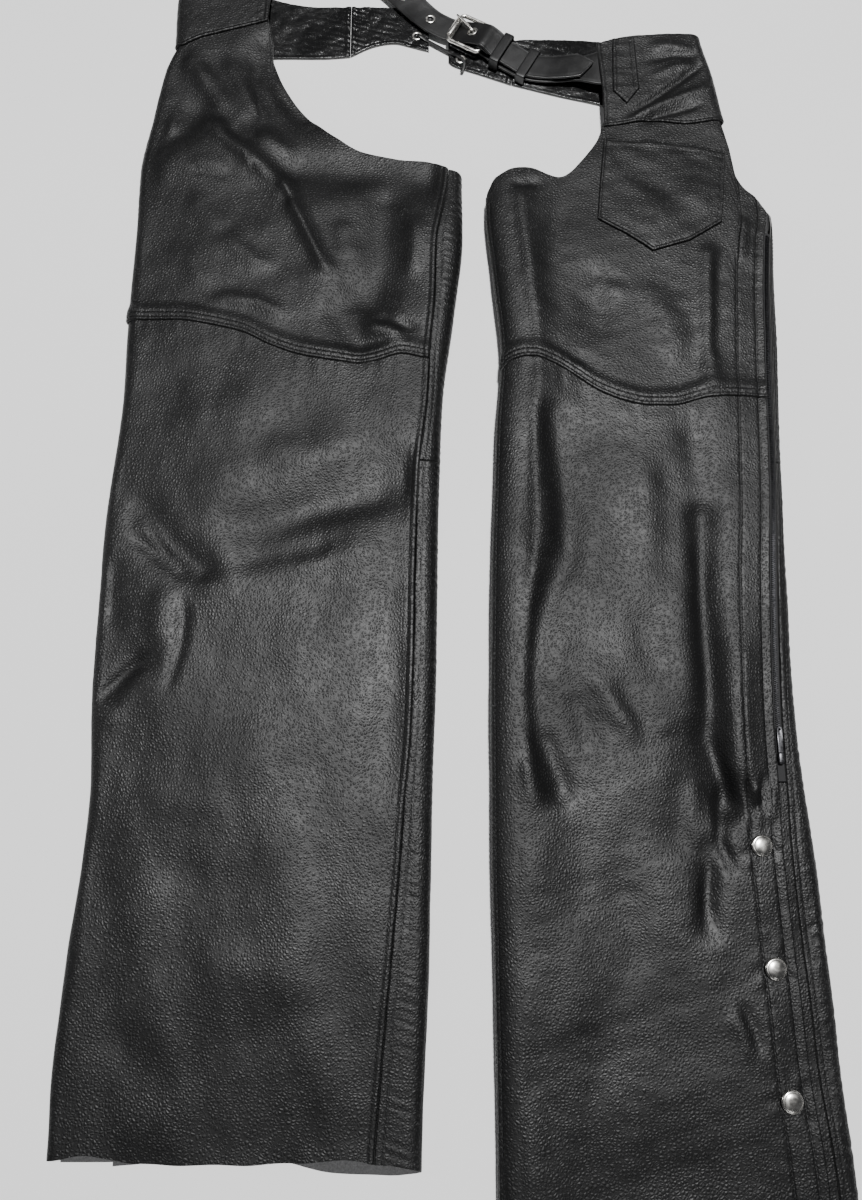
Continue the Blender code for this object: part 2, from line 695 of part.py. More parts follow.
def lathe(name, profile, sides, place, normal, material):
    """A turned solid: profile is (radius, height) from the top's centre to the base's centre."""
    normal = normal.normalized()
    side_x = normal.orthogonal().normalized()
    side_y = normal.cross(side_x)
    verts = [place + normal * profile[0][1]]
    for radius, height in profile[1:-1]:
        for k in range(sides):
            angle = 2.0 * math.pi * k / sides
            verts.append(place + normal * height + side_x * (radius * math.cos(angle))
                         + side_y * (radius * math.sin(angle)))
    verts.append(place + normal * profile[-1][1])
    last = len(verts) - 1
    rings = len(profile) - 2
    faces = []
    for k in range(sides):
        n = (k + 1) % sides
        faces.append((0, 1 + k, 1 + n))
        for r in range(rings - 1):
            a, b = 1 + r * sides, 1 + (r + 1) * sides
            faces.append((a + k, b + k, b + n, a + n))
        base = 1 + (rings - 1) * sides
        faces.append((base + n, base + k, last))
    return make_mesh(name, verts, faces, material)


SNAP_PROFILE = [(0, 3.0), (3.6, 2.75), (6.0, 2.0), (7.3, 1.1), (SNAP_RADIUS, 0.45), (7.4, 0.0), (0, 0.0)]
SNAP_Y = [-291.0, -373.0, -456.0]
SNAP_INSET = 16.0


def build_snaps():
    for side, leg, edge, sign in ZIP_SIDES:
        for i, y in enumerate(SNAP_Y):
            u = edge(y) - sign * SNAP_INSET
            normal = normal_at(leg, u, y)
            lathe(f"{side}_snap_{i + 1}", SNAP_PROFILE, 20, leg.at(u, y) + normal * GAP, normal, NICKEL)


def build_yokes(right_seam, left_seam):
    over = LEATHER + GAP

    def right_rise(u, y):
        walked = (RIGHT.fold_start(y, -1) - u) / RIGHT.fold_arc(y, -1)
        return over * (1.0 - smooth(walked / 0.9))

    def left_rise(u, y):
        walked = (u - LEFT.fold_start(y, 1)) / LEFT.fold_arc(y, 1)
        return over * (1.0 - smooth(walked / 0.9))

    def right_under(y):
        return RIGHT.fold_start(y, -1) - RIGHT.fold_arc(y, -1) - YOKE_TURN

    def left_under(y):
        return LEFT.fold_start(y, 1) + LEFT.fold_arc(y, 1) + YOKE_TURN

    top = curve_line([(-168, 524), (-210, 512), (-246, 500), (right_under(500.0), 500.0)])
    outline = resample([(-171, 437), (-169, 480), (-168, 524)], 22.0)[:-1] + top
    outline += along(right_under, 500.0, 408.0)[1:] + list(reversed(right_seam))[:-1]
    inner = lattice([-190, -210, -230] + fold_columns(RIGHT, -1), 400.0, 520.0, 22.0)
    sheet("right_front_yoke", RIGHT, outline, BLACK, offset=right_rise, inner=inner)

    top = curve_line([(128, 411), (150, 417), (190, 421), (214, 421), (left_under(419.0), 419.0)])
    outline = resample([left_seam[0], (131, 360), (128, 411)], 22.0)[:-1] + top
    outline += along(left_under, 419.0, 331.0)[1:] + list(reversed(left_seam))[:-1]
    inner = lattice([150, 170, 190, 210] + fold_columns(LEFT, 1), 320.0, 425.0, 22.0)
    sheet("left_front_yoke", LEFT, outline, BLACK, offset=left_rise, inner=inner)

    tab = [(142, 414), (162, 416), (164, 361), (152, 345), (140, 358)]
    sheet("left_belt_tab", LEFT, resample(tab + tab[:1], 14.0)[:-1], BLACK, offset=over * 2.0 + 0.1,
          inner=[(152, 400), (152, 380), (152, 365)])

    pocket = [(130, 309), (178, 306), (204, 303), (236, 296), (231, 258), (226, 222), (197, 203),
              (165, 193), (143, 210), (120, 225), (124, 262)]
    inner = lattice([lambda y, t=t: lerp(LEFT.fold_start(y, -1), LEFT.fold_start(y, 1), t / 11)
                     for t in range(1, 11)], 195.0, 305.0, 22.0)
    sheet("left_pocket", LEFT, resample(pocket + pocket[:1], 18.0)[:-1], BLACK, offset=over + 0.2, inner=inner)


# Eyelets of the lacing: radii of the hole and the washer, and the places
EYELET_HOLE = 2.9
EYELET_IN = 2.5
EYELET_OUT = 4.8
EYELET_PLACES = [(-37, 451), (-35, 431), (8, 426), (5, 405)]


def build_bands():
    """Back of the waist, lying on the surface with its inside up."""
    flat = Flat()
    right_join, left_join = -96.0, 51.0

    def right_side(y):
        return RIGHT.fold_start(y, -1) + YOKE_TURN + SEAM

    def left_side(y):
        return LEFT.fold_start(y, 1) - YOKE_TURN - SEAM

    upper_r = [(right_side(498), 498), (-200, 484), (-144, 466), (right_join - SEAM, 464)]
    lower_r = [(right_join - SEAM, 408), (-120, 406), (-165, 406), (-200, 404), (right_side(410), 410)]
    upper_r2 = [(right_join, 464), (-70, 464), (-45, 462), (-24, 455)]
    lower_r2 = [(-24, 414), (-40, 419), (-56, 423), (-76, 419), (right_join, 408)]
    upper_l2 = [(-6, 446), (20, 436), (left_join, 426)]
    lower_l2 = [(left_join, 377), (23, 388), (0, 397), (-6, 402)]
    upper_l = [(left_join + SEAM, 426), (79, 427), (115, 426), (160, 422), (left_side(417), 417)]
    lower_l = [(left_side(333), 333), (170, 342), (130, 355), (95, 364), (left_join + SEAM, 377)]
    pieces = (("right_back_yoke", upper_r, lower_r, ()),
              ("right_back_band", upper_r2, lower_r2, EYELET_PLACES[:2]),
              ("left_back_band", upper_l2, lower_l2, EYELET_PLACES[2:]),
              ("left_back_yoke", upper_l, lower_l, ()))
    for name, upper, lower, places in pieces:
        outline = resample(curve_line(upper) + curve_line(lower), 26.0)
        holes = [ring_points(x, y, EYELET_HOLE, 8) for x, y in places]
        low = min(y for _, y in outline)
        high = max(y for _, y in outline)
        xs = sorted(x for x, _ in outline)
        count = max(2, round((xs[-1] - xs[0]) / 24.0))
        columns = [lerp(xs[0], xs[-1], k / count) for k in range(1, count)]
        sheet(name, flat, outline, BLACK, offset=LEATHER, inner=lattice(columns, low, high, 22.0), holes=holes)


def ring_points(x, y, radius, sides):
    return [(x + radius * math.cos(2.0 * math.pi * k / sides),
             y + radius * math.sin(2.0 * math.pi * k / sides)) for k in range(sides)]


def turned_ring(name, profile, sides, place, normal, material):
    """A closed ring: profile is a loop of (radius, height) round the axis."""
    normal = normal.normalized()
    side_x = normal.orthogonal().normalized()
    side_y = normal.cross(side_x)
    verts, faces = [], []
    for radius, height in profile:
        for k in range(sides):
            angle = 2.0 * math.pi * k / sides
            verts.append(place + normal * height + side_x * (radius * math.cos(angle))
                         + side_y * (radius * math.sin(angle)))
    rings = len(profile)
    for r in range(rings):
        a, b = r * sides, ((r + 1) % rings) * sides
        for k in range(sides):
            n = (k + 1) % sides
            faces.append((a + k, b + k, b + n, a + n))
    return make_mesh(name, verts, faces, material)


def eyelet(name, place, normal, high):
    """A domed washer round a punched hole."""
    profile = [(EYELET_OUT, GAP), (EYELET_OUT - 0.6, GAP + high * 0.7), (3.5, GAP + high),
               (EYELET_IN + 0.2, GAP + high * 0.6), (EYELET_IN, GAP)]
    return turned_ring(name, profile, 14, place, normal, NICKEL)


def tube(name, points, radius, sides, material, closed=False):
    """A round bar along a line of points."""
    verts, faces = [], []
    count = len(points)
    side = None
    for i, place in enumerate(points):
        if closed:
            way = points[(i + 1) % count] - points[i - 1]
        else:
            way = points[min(count - 1, i + 1)] - points[max(0, i - 1)]
        way.normalize()
        if side is None:
            side = way.orthogonal().normalized()
        side = (side - way * side.dot(way)).normalized()
        other = way.cross(side)
        for k in range(sides):
            angle = 2.0 * math.pi * k / sides
            verts.append(place + side * (radius * math.cos(angle)) + other * (radius * math.sin(angle)))
    spans = count if closed else count - 1
    for i in range(spans):
        a, b = i * sides, ((i + 1) % count) * sides
        for k in range(sides):
            n = (k + 1) % sides
            faces.append((a + k, a + n, b + n, b + k))
    if not closed:
        faces.append(tuple(reversed(range(sides))))
        faces.append(tuple((count - 1) * sides + k for k in range(sides)))
    return make_mesh(name, verts, faces, material)


# Belt: x, y, height of the strap's middle, tilt across it
BELT_ROWS = [
    (-178, 492, 10.9, 0), (-162, 498, 9.8, 3), (-138, 505, 7.2, 8), (-110, 507, 6.2, 14),
    (-84, 500, 6.6, 16), (-62, 485, 6.8, 12), (-43, 465, 6.4, 5), (-24, 446, 5.6, 0),
    (-10, 437, 4.9, 0), (0, 433.2, 4.7, 0), (7, 429.8, 6.9, 0), (14, 426, 9.8, 0),
    (21, 422, 12.9, 0), (28, 418, 14.5, 0), (34, 414.5, 12.6, 0), (42, 408.5, 9.4, 0),
    (54, 400.5, 8.2, 0), (66, 393, 7.4, 0), (80, 389.5, 8.0, 0), (98, 388, 10.2, 0),
    (112, 388.5, 12.0, 0), (124, 390, 13.2, 0)]
BUCKLE = Vector((14.0, 425.7, 9.0))
BUCKLE_TURN = math.radians(-29.0)
BUCKLE_ALONG = Vector((math.cos(BUCKLE_TURN), math.sin(BUCKLE_TURN), 0.0))
BUCKLE_ACROSS = Vector((-math.sin(BUCKLE_TURN), math.cos(BUCKLE_TURN), 0.0))
BUCKLE_HALF_LENGTH = 16.0
BUCKLE_HALF_WIDTH = 15.4
WIRE = 1.8
ROLLER = 3.0
STRAP_EYELETS = [(16.6, 424.5), (-22, 444.5), (-48, 471)]
CHAPE_ROWS = [
    (153, 387, 11.0), (140, 386.5, 11.0), (127, 386, 10.4), (113, 387, 8.6), (97, 387.5, 6.2),
    (80, 388, 5.2), (65, 391, 4.9), (52, 398.5, 4.8), (42, 405.5, 4.9), (35, 412, 5.3)]
# Prong: along and across the buckle, height above the buckle's middle
PRONG_ROWS = [
    (11.4, 0.2, -1.4), (8.0, 0.2, -1.4), (5.4, 0.2, -0.8), (3.8, 0.2, 0.8), (2.6, 0.5, 2.6),
    (0.6, 1.2, 3.9), (-4.0, 3.2, 4.5), (-10.0, 5.6, 4.6), (-16.0, 8.0, 4.5), (-19.4, 9.2, 4.1)]
PRONG = 1.1
KEEPERS = [(42.0, 407.0, 3.2, 12.2), (65.5, 392.0, 3.2, 9.8)]
KEEPER_HALF = 15.4
KEEPER_LENGTH = 9.0


def buckle_point(a, b, z=0.0):
    return BUCKLE + BUCKLE_ALONG * a + BUCKLE_ACROSS * b + Vector((0, 0, z))


def strap_sheet(name, ribbon, stations, half, end, holes=()):
    """A strap piece with straight sides. stations are places along it, end closes its outline."""
    top = [(u, half(u)) for u in stations]
    low = [(u, -half(u)) for u in reversed(stations)]
    middle = [(u, 0.0) for u in stations[1:]]
    return sheet(name, ribbon, top + end + low, STRAP_BLACK, wall=STRAP, offset=STRAP / 2.0,
                 inner=middle, holes=holes, margin=2.0)


def build_belt_strap():
    strap = Ribbon([row[:3] for row in BELT_ROWS], [row[3] for row in BELT_ROWS])
    half = BELT_WIDTH / 2.0
    end = strap.length
    shoulder = end - 14.0
    count = int(shoulder / 5.0)
    stations = [shoulder * k / count for k in range(count + 1)]
    tip = [(end - 5.5, half * 0.6), (end, 0.0), (end - 5.5, -half * 0.6)]
    centres = [strap.nearest(*place) for place in STRAP_EYELETS]
    holes = [ring_points(u, 0.0, EYELET_HOLE, 10) for u in centres]
    strap_sheet("belt_strap", strap, stations, lambda u: half, tip, holes)
    for i, u in enumerate(centres):
        normal = normal_at(strap, u, 0.0)
        eyelet(f"strap_eyelet_{i + 1}", strap.at(u, 0.0) + normal * (STRAP / 2.0), normal, 0.6)


def build_chape():
    """Short strap from the left yoke to the buckle's end bar and back round the bar."""
    bar = buckle_point(BUCKLE_HALF_LENGTH, 0.0)
    turn = WIRE + GAP + STRAP / 2.0
    points = list(CHAPE_ROWS)
    for k in range(7):
        angle = math.pi * k / 6.0
        place = bar - BUCKLE_ALONG * (turn * math.sin(angle)) - Vector((0, 0, turn * math.cos(angle)))
        points.append(tuple(place))
    for reach, drop in ((4.0, 1.3), (8.0, 3.2)):
        place = bar + BUCKLE_ALONG * reach + Vector((0, 0, turn - drop))
        points.append(tuple(place))
    chape = Ribbon(points)
    turn_start = chape.walk[12 * (len(CHAPE_ROWS))]
    stations = [turn_start * k / 24 for k in range(24)]
    rest = chape.length - turn_start
    stations += [turn_start + rest * k / 14 for k in range(15)]
    wide, narrow = 18.5, BELT_WIDTH / 2.0
    strap_sheet("belt_chape", chape, stations, lambda u: lerp(wide, narrow, smooth((u - 16.0) / 32.0)), [])


def build_buckle():
    corner = 4.0
    a, b = BUCKLE_HALF_LENGTH, BUCKLE_HALF_WIDTH
    loop = []
    for ca, cb, start in ((a - corner, b - corner, 0), (-a + corner, b - corner, 90),
                          (-a + corner, -b + corner, 180), (a - corner, -b + corner, 270)):
        for k in range(4):
            angle = math.radians(start + 30.0 * k)
            loop.append(buckle_point(ca + corner * math.cos(angle), cb + corner * math.sin(angle)))
    tube("buckle_frame", loop, WIRE, 8, NICKEL, closed=True)
    reach = b - corner - 0.4
    bore = WIRE + GAP
    profile = [(bore, -reach), (bore, reach), (ROLLER - 0.3, reach), (ROLLER, reach - 0.3),
               (ROLLER, -reach + 0.3), (ROLLER - 0.3, -reach)]
    turned_ring("buckle_roller", profile[::-1], 14, buckle_point(-a, 0.0), BUCKLE_ACROSS, NICKEL)
    tube("buckle_prong", [buckle_point(*row) for row in PRONG_ROWS], PRONG, 8, NICKEL)


def rounded_rectangle(half, low, high, corner):
    out = []
    for cx, cz, start in ((half - corner, high - corner, 0), (-half + corner, high - corner, 90),
                          (-half + corner, low + corner, 180), (half - corner, low + corner, 270)):
        for k in range(3):
            angle = math.radians(start + 45.0 * k)
            out.append((cx + corner * math.cos(angle), cz + corner * math.sin(angle)))
    return out


def build_keepers():
    """Leather loops round the strap and the chape."""
    for i, (x, y, low, high) in enumerate(KEEPERS):
        inner = rounded_rectangle(KEEPER_HALF, low, high, 1.2)
        outer = rounded_rectangle(KEEPER_HALF + LEATHER, low - LEATHER, high + LEATHER, 2.4)
        verts = []
        for shift in (-KEEPER_LENGTH / 2.0, KEEPER_LENGTH / 2.0):
            for loop in (inner, outer):
                for across, z in loop:
                    place = Vector((x, y, z)) + BUCKLE_ALONG * shift + BUCKLE_ACROSS * across
                    verts.append(place)
        n = len(inner)
        faces = []
        for k in range(n):
            m = (k + 1) % n
            faces.append((k, m, m + 2 * n, k + 2 * n))
            faces.append((n + m, n + k, n + k + 2 * n, n + m + 2 * n))
            faces.append((k, n + k, n + m, m))
            faces.append((2 * n + k, 2 * n + m, 3 * n + m, 3 * n + k))
        make_mesh(f"belt_keeper_{i + 1}", verts, faces, STRAP_BLACK)


# Lacing: distance from an eyelet's middle and the height of the thong's middle there
LACE_DIP = [(0.0, 1.5), (1.0, 2.7), (2.0, 3.35), (3.8, 3.45), (6.5, 2.9), (9.0, 2.5), (12.0, 2.35)]
# Free end: x, y and height, from the last eyelet on
LACE_TAIL = [(5, 405, 3.5), (8.2, 400, 3.3), (7.6, 394.5, 2.6), (5.5, 389.5, 1.9)]
LACE_WIDTH = 3.0
LACE_WALL = 1.1


def lace_points(start, finish, tail=()):
    """A thong that comes up through one eyelet and goes down the next, or over it to its free end."""
    begin, finish = Vector((*start, 0.0)), Vector((*finish, 0.0))
    way = (finish - begin).normalized()
    points = [begin + way * reach + Vector((0, 0, z)) for reach, z in LACE_DIP]
    if tail:
        points += [finish - way * reach + Vector((0, 0, z)) for reach, z in reversed(LACE_DIP[3:])]
        return points + [Vector(row) for row in tail]
    return points + [finish - way * reach + Vector((0, 0, z)) for reach, z in reversed(LACE_DIP)]


def build_laces():
    routes = {"back_lace": lace_points(EYELET_PLACES[0], EYELET_PLACES[2]),
              "lace_end": lace_points(EYELET_PLACES[1], EYELET_PLACES[3], LACE_TAIL)}
    for name, points in routes.items():
        thong = Ribbon(points)
        count = int(thong.length / 1.6)
        stations = [thong.length * k / count for k in range(count + 1)]
        half = LACE_WIDTH / 2.0
        outline = [(u, half) for u in stations] + [(u, -half) for u in reversed(stations)]
        sheet(name, thong, outline, STRAP_BLACK, wall=LACE_WALL, offset=LACE_WALL / 2.0)


SLIDER_Y = ZIP_END_Y + 12.0
# Slider and pull tab: half width, length along the zip, height above the leather
SLIDER_BODY = (2.2, 9.0, 1.6)
PULL_TAB = (1.9, 20.0, 0.9)


def block(leg, centre, y, half, length, low, high):
    """Corners of a small block that stands on the surface along the zip."""
    out = []
    for z in (low, high):
        for du, dy in ((-half, 0.0), (half, 0.0), (half, length), (-half, length)):
            u = centre(y + dy)
            out.append(leg.at(u + du, y + dy) + normal_at(leg, u, y + dy) * z)
    return out


def build_sliders():
    """Each slider is at the low end of its zip with its pull tab laid up along the channel."""
    box = [(3, 2, 1, 0), (4, 5, 6, 7), (0, 1, 5, 4), (1, 2, 6, 5), (2, 3, 7, 6), (3, 0, 4, 7)]
    for side, leg, edge, sign in ZIP_SIDES:
        def centre(y, edge=edge, sign=sign):
            return edge(y) + sign * CHANNEL / 2.0

        half, length, high = SLIDER_BODY
        corners = block(leg, centre, SLIDER_Y, half, length, -LEATHER - 0.3, high)
        body = make_mesh(side + "_zip_slider", corners, box, ZIP_METAL, smooth_shade=False)
        half, length, high = PULL_TAB
        start = SLIDER_Y + SLIDER_BODY[1] - 1.5
        corners = block(leg, centre, start, half, length, 0.2, high)
        tab = make_mesh(side + "_pull", corners, box, ZIP_METAL, smooth_shade=False)
        union = body.modifiers.new("pull tab", "BOOLEAN")
        union.operation = "UNION"
        union.object = tab
        tab.hide_render = True
        tab.display_type = "WIRE"


seam_r = build_right_leg()
seam_l = build_left_leg()
build_zips()
build_snaps()
build_sliders()
build_yokes(seam_r, seam_l)
build_bands()
build_laces()
build_belt_strap()
build_chape()
build_buckle()
build_keepers()
for i, (x, y) in enumerate(EYELET_PLACES):
    eyelet(f"band_eyelet_{i + 1}", Vector((x, y, LEATHER)), Vector((0, 0, 1)), 0.5)
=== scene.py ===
"""Looks for leather chaps laid out flat with the front up.

Tables are in millimetres in the frame of the garment's drawing. world() moves them to the
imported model's frame, in metres. "right" and "left" are the wearer's sides.
"""
import math

import bmesh
import bpy
import numpy as np
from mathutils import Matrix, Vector

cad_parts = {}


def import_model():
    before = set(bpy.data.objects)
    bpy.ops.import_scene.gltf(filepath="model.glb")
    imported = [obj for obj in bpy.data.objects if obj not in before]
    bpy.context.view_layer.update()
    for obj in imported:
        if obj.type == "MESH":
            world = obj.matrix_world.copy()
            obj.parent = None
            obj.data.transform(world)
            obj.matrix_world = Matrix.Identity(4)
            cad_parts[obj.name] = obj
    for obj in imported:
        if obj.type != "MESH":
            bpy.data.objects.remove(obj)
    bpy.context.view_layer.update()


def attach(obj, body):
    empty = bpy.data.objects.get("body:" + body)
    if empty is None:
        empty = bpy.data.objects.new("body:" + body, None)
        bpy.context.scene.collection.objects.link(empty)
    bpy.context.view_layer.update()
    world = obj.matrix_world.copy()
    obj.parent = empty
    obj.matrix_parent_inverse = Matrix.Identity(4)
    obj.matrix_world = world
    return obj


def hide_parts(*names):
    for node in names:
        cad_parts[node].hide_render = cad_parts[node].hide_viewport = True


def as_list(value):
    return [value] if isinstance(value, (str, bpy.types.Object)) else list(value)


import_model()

MM = 0.001
CENTRE = np.array([-3.75, -5.5, 0.0])

# Driving sizes, as in the solids
LEATHER = 1.4
STRAP = 2.0
TAPE = 1.0
GAP = 0.35
UNDER_GAP = 0.8
LAP_GAP = 1.0
SEAM = 0.4
LAP = 8.0
STEP = 6.0
CHANNEL = 6.0
TAPE_REACH = 7.0
ZIP_END_Y = -246.0
ZIP_TOP_Y = 214.0
SNAP_RADIUS = 7.7


def world(points):
    return (np.asarray(points, float) - CENTRE) * MM


def smooth(t):
    t = np.clip(t, 0.0, 1.0)
    return t * t * (3.0 - 2.0 * t)


def lerp(a, b, t):
    return a + (b - a) * t


class Table:
    """Rows of (key, value, ...) read with a smooth curve between the rows."""

    def __init__(self, names, rows):
        self.names = names.split()
        self.rows = np.array(sorted(rows), float)
        self.keys = self.rows[:, 0]
        chords = np.diff(self.rows, axis=0) / np.diff(self.keys)[:, None]
        before, after = chords[:-1], chords[1:]
        total = before + after
        same = before * after > 0.0
        self.slopes = np.zeros_like(self.rows)
        self.slopes[1:-1] = np.where(same, 2.0 * before * after / np.where(same, total, 1.0), 0.0)

    def read(self, key, name):
        col = self.names.index(name)
        key = np.clip(np.asarray(key, float), self.keys[0], self.keys[-1])
        i = np.clip(np.searchsorted(self.keys, key, side="right") - 1, 0, len(self.keys) - 2)
        span = self.keys[i + 1] - self.keys[i]
        t = (key - self.keys[i]) / span
        a, b = self.rows[i, col], self.rows[i + 1, col]
        ma, mb = self.slopes[i, col] * span, self.slopes[i + 1, col] * span
        return ((2 * t ** 3 - 3 * t ** 2 + 1) * a + (t ** 3 - 2 * t ** 2 + t) * ma
                + (3 * t ** 2 - 2 * t ** 3) * b + (t ** 3 - t ** 2) * mb)


# Legs: y along the leg, the two edges, the height of each edge fold, the height between them
RIGHT_SECTIONS = Table("y left right fold_l fold_r crown", [
    (-512, -277, -28, 13, 13, 12),
    (-444, -279, -26, 14, 14, 15),
    (-370, -276, -23, 15, 16, 16),
    (-259, -270, -21, 15, 17, 17),
    (-171, -276, -18, 15, 18, 18),
    (-44, -277, -16, 16, 19, 19),
    (60, -272, -12, 16, 20, 19),
    (133, -274, -3, 16, 20, 18),
    (209, -274, 5, 15, 20, 17),
    (276, -276, 5, 13, 15, 15),
    (330, -269, 5, 12, 12, 11),
    (388, -261, 5, 12, 12, 11),
    (412, -254, 5, 13, 12, 12),
    (455, -255, 5, 13, 12, 12),
    (530, -250, 5, 13, 12, 12)])
LEFT_SECTIONS = Table("y left right fold_l fold_r crown", [
    (-536, 22, 260, 17, 13, 12),
    (-446, 22, 257, 19, 13, 15),
    (-315, 21, 254, 21, 14, 16),
    (-200, 22, 249, 22, 15, 17),
    (-107, 24, 252, 23, 16, 18),
    (28, 30, 259, 23, 16, 18),
    (100, 35, 264, 23, 16, 17),
    (176, 29, 268, 22, 15, 16),
    (232, 25, 272, 20, 13, 15),
    (270, 26, 262, 17, 12, 13),
    (300, 30, 247, 14, 11, 12),
    (331, 30, 238, 12, 11, 11),
    (375, 30, 232, 12, 12, 12),
    (430, 30, 222, 12, 12, 12)])

# Large folds, as in the solids: height, half width, line
RIGHT_FOLDS = [
    (3.0, 9, [(-210, 319), (-179, 286), (-148, 256)]),
    (3.5, 8, [(-148, 256), (-134, 228), (-111, 177)]),
    (-4.5, 17, [(-60, 240), (-62, 221), (-63, 177), (-70, 146)]),
    (-4.6, 21, [(-138, 276), (-100, 273), (-62, 272), (-30, 266)]),
    (4.2, 30, [(-246, 296), (-216, 302), (-184, 296)]),
    (-4.2, 12, [(-172, 412), (-166, 382), (-152, 354), (-134, 334)]),
    (-3.0, 14, [(-86, 155), (-99, 134), (-80, 104)]),
    (-3.0, 13, [(-262, 345), (-262, 297), (-239, 312), (-231, 335)]),
    (2.5, 11, [(-237, 388), (-215, 366), (-191, 336)]),
    (-3.5, 15, [(-245, -42), (-227, -69), (-199, -89)]),
    (-2.2, 13, [(-239, -160), (-256, -180)]),
    (-2.2, 15, [(-58, -110), (-51, -176), (-56, -240)]),
    (-4.5, 24, [(-155, -55), (-101, -34), (-46, -13)]),
    (2.5, 22, [(-178, -20), (-172, 40)]),
    (2.0, 30, [(-150, -230), (-120, -380)]),
]
LEFT_FOLDS = [
    (-6.0, 12, [(189, -46), (186, -108), (187, -174), (184, -215), (191, -262)]),
    (-2.4, 13, [(186, 22), (190, -30)]),
    (2.2, 14, [(206, -150), (203, -235)]),
    (-3.0, 10, [(175, -298), (172, -344)]),
    (3.0, 14, [(51, 240), (54, 147), (56, 0), (60, -55), (46, -120), (40, -181), (38, -240)]),
    (-4.2, 13, [(76, 40), (83, -41), (81, -78), (69, -100), (57, -132), (49, -166)]),
    (-3.4, 14, [(50, -186), (58, -216), (68, -250)]),
    (-2.8, 18, [(174, -216), (168, -250), (158, -280)]),
    (-1.8, 14, [(163, -10), (161, -41), (163, -90)]),
    (2.5, 8, [(212, 190), (205, 72)]),
]

# Creases on top of the folds: height, half width, lean (one flank steeper), line.
# Each fades at both ends. Negative heights are troughs.
RIGHT_CREASES = [
    (1.0, 3.2, 0.5, [(-149, 258), (-134, 226), (-122, 200), (-108, 170)]),
    (-0.9, 4.0, 0.0, [(-160, 262), (-150, 250), (-141, 236)]),
    (0.9, 6.0, 0.4, [(-222, 330), (-203, 306), (-180, 286), (-160, 268)]),
    (-1.0, 6.0, 0.0, [(-203, 322), (-188, 306), (-170, 296)]),
    (1.3, 7.0, 0.0, [(-212, 405), (-196, 372), (-180, 345), (-168, 330)]),
    (-1.2, 7.0, 0.0, [(-190, 420), (-181, 385), (-176, 352), (-160, 326)]),
    (1.0, 8.0, 0.3, [(-237, 392), (-222, 366), (-208, 344), (-196, 330)]),
    (-0.5, 2.4, 0.0, [(-236, 275), (-214, 270), (-192, 265)]),
    (0.6, 7.0, 0.0, [(-232, 284), (-212, 279), (-194, 276)]),
    (1.2, 9.0, 0.0, [(-178, 316), (-156, 300), (-134, 286)]),
    (1.1, 8.0, 0.0, [(-35, 232), (-36, 197), (-40, 162)]),
    (0.8, 10.0, 0.0, [(-98, 226), (-96, 204), (-92, 182)]),
    (0.8, 8.0, 0.0, [(-84, 130), (-64, 123), (-44, 122)]),
    (0.9, 7.0, 0.0, [(-255, 366), (-252, 336), (-250, 308)]),
    (0.8, 8.0, 0.0, [(-200, 215), (-186, 196), (-168, 182), (-146, 176)]),
    (1.1, 6.5, 0.3, [(-214, 145), (-190, 148), (-168, 145), (-148, 136), (-136, 124)]),
    (0.7, 10.0, 0.0, [(-216, 256), (-220, 238), (-206, 222), (-190, 214)]),
    (0.6, 7.0, 0.0, [(-250, 205), (-228, 186), (-210, 158)]),
    (-1.0, 6.0, 0.5, [(-74, 130), (-58, 128), (-42, 122), (-28, 116)]),
    (1.2, 7.0, 0.4, [(-80, 122), (-60, 118), (-40, 112)]),
    (1.1, 8.0, 0.5, [(-256, -30), (-243, -50), (-226, -73), (-200, -95), (-176, -104)]),
    (-1.3, 6.0, 0.4, [(-262, -58), (-240, -66), (-219, -84), (-196, -100)]),
    (-0.7, 2.4, 0.5, [(-250, -38), (-238, -56), (-225, -73), (-212, -84), (-199, -91)]),
    (-1.0, 5.0, 0.3, [(-213, -99), (-208, -124), (-209, -146), (-218, -189)]),
    (0.6, 9.0, 0.0, [(-228, -96), (-226, -124), (-226, -150)]),
    (-1.0, 5.0, 0.5, [(-232, -152), (-244, -163), (-260, -178), (-270, -194)]),
    (0.8, 8.0, 0.3, [(-226, -160), (-240, -176), (-254, -194), (-262, -214)]),
    (-0.8, 9.0, 0.0, [(-268, -70), (-266, -110), (-262, -140)]),
    (1.2, 16.0, 0.0, [(-165, 10), (-120, 6), (-70, 22)]),
    (-1.1, 12.0, 0.0, [(-160, -62), (-119, -39), (-73, -31), (-40, -24)]),
    (-0.9, 9.0, 0.0, [(-184, -88), (-150, -78), (-111, -70), (-80, -60)]),
    (0.8, 12.0, 0.0, [(-140, -90), (-96, -76), (-50, -70)]),
    (0.7, 16.0, 0.0, [(-240, -250), (-200, -262), (-160, -255)]),
    (-0.7, 18.0, 0.0, [(-230, -300), (-180, -318), (-120, -300)]),
    (0.7, 20.0, 0.0, [(-200, -360), (-140, -380), (-90, -370)]),
    (-0.8, 16.0, 0.0, [(-250, -400), (-220, -430), (-190, -470)]),
    (-0.6, 14.0, 0.0, [(-110, -430), (-100, -470), (-104, -498)]),
]
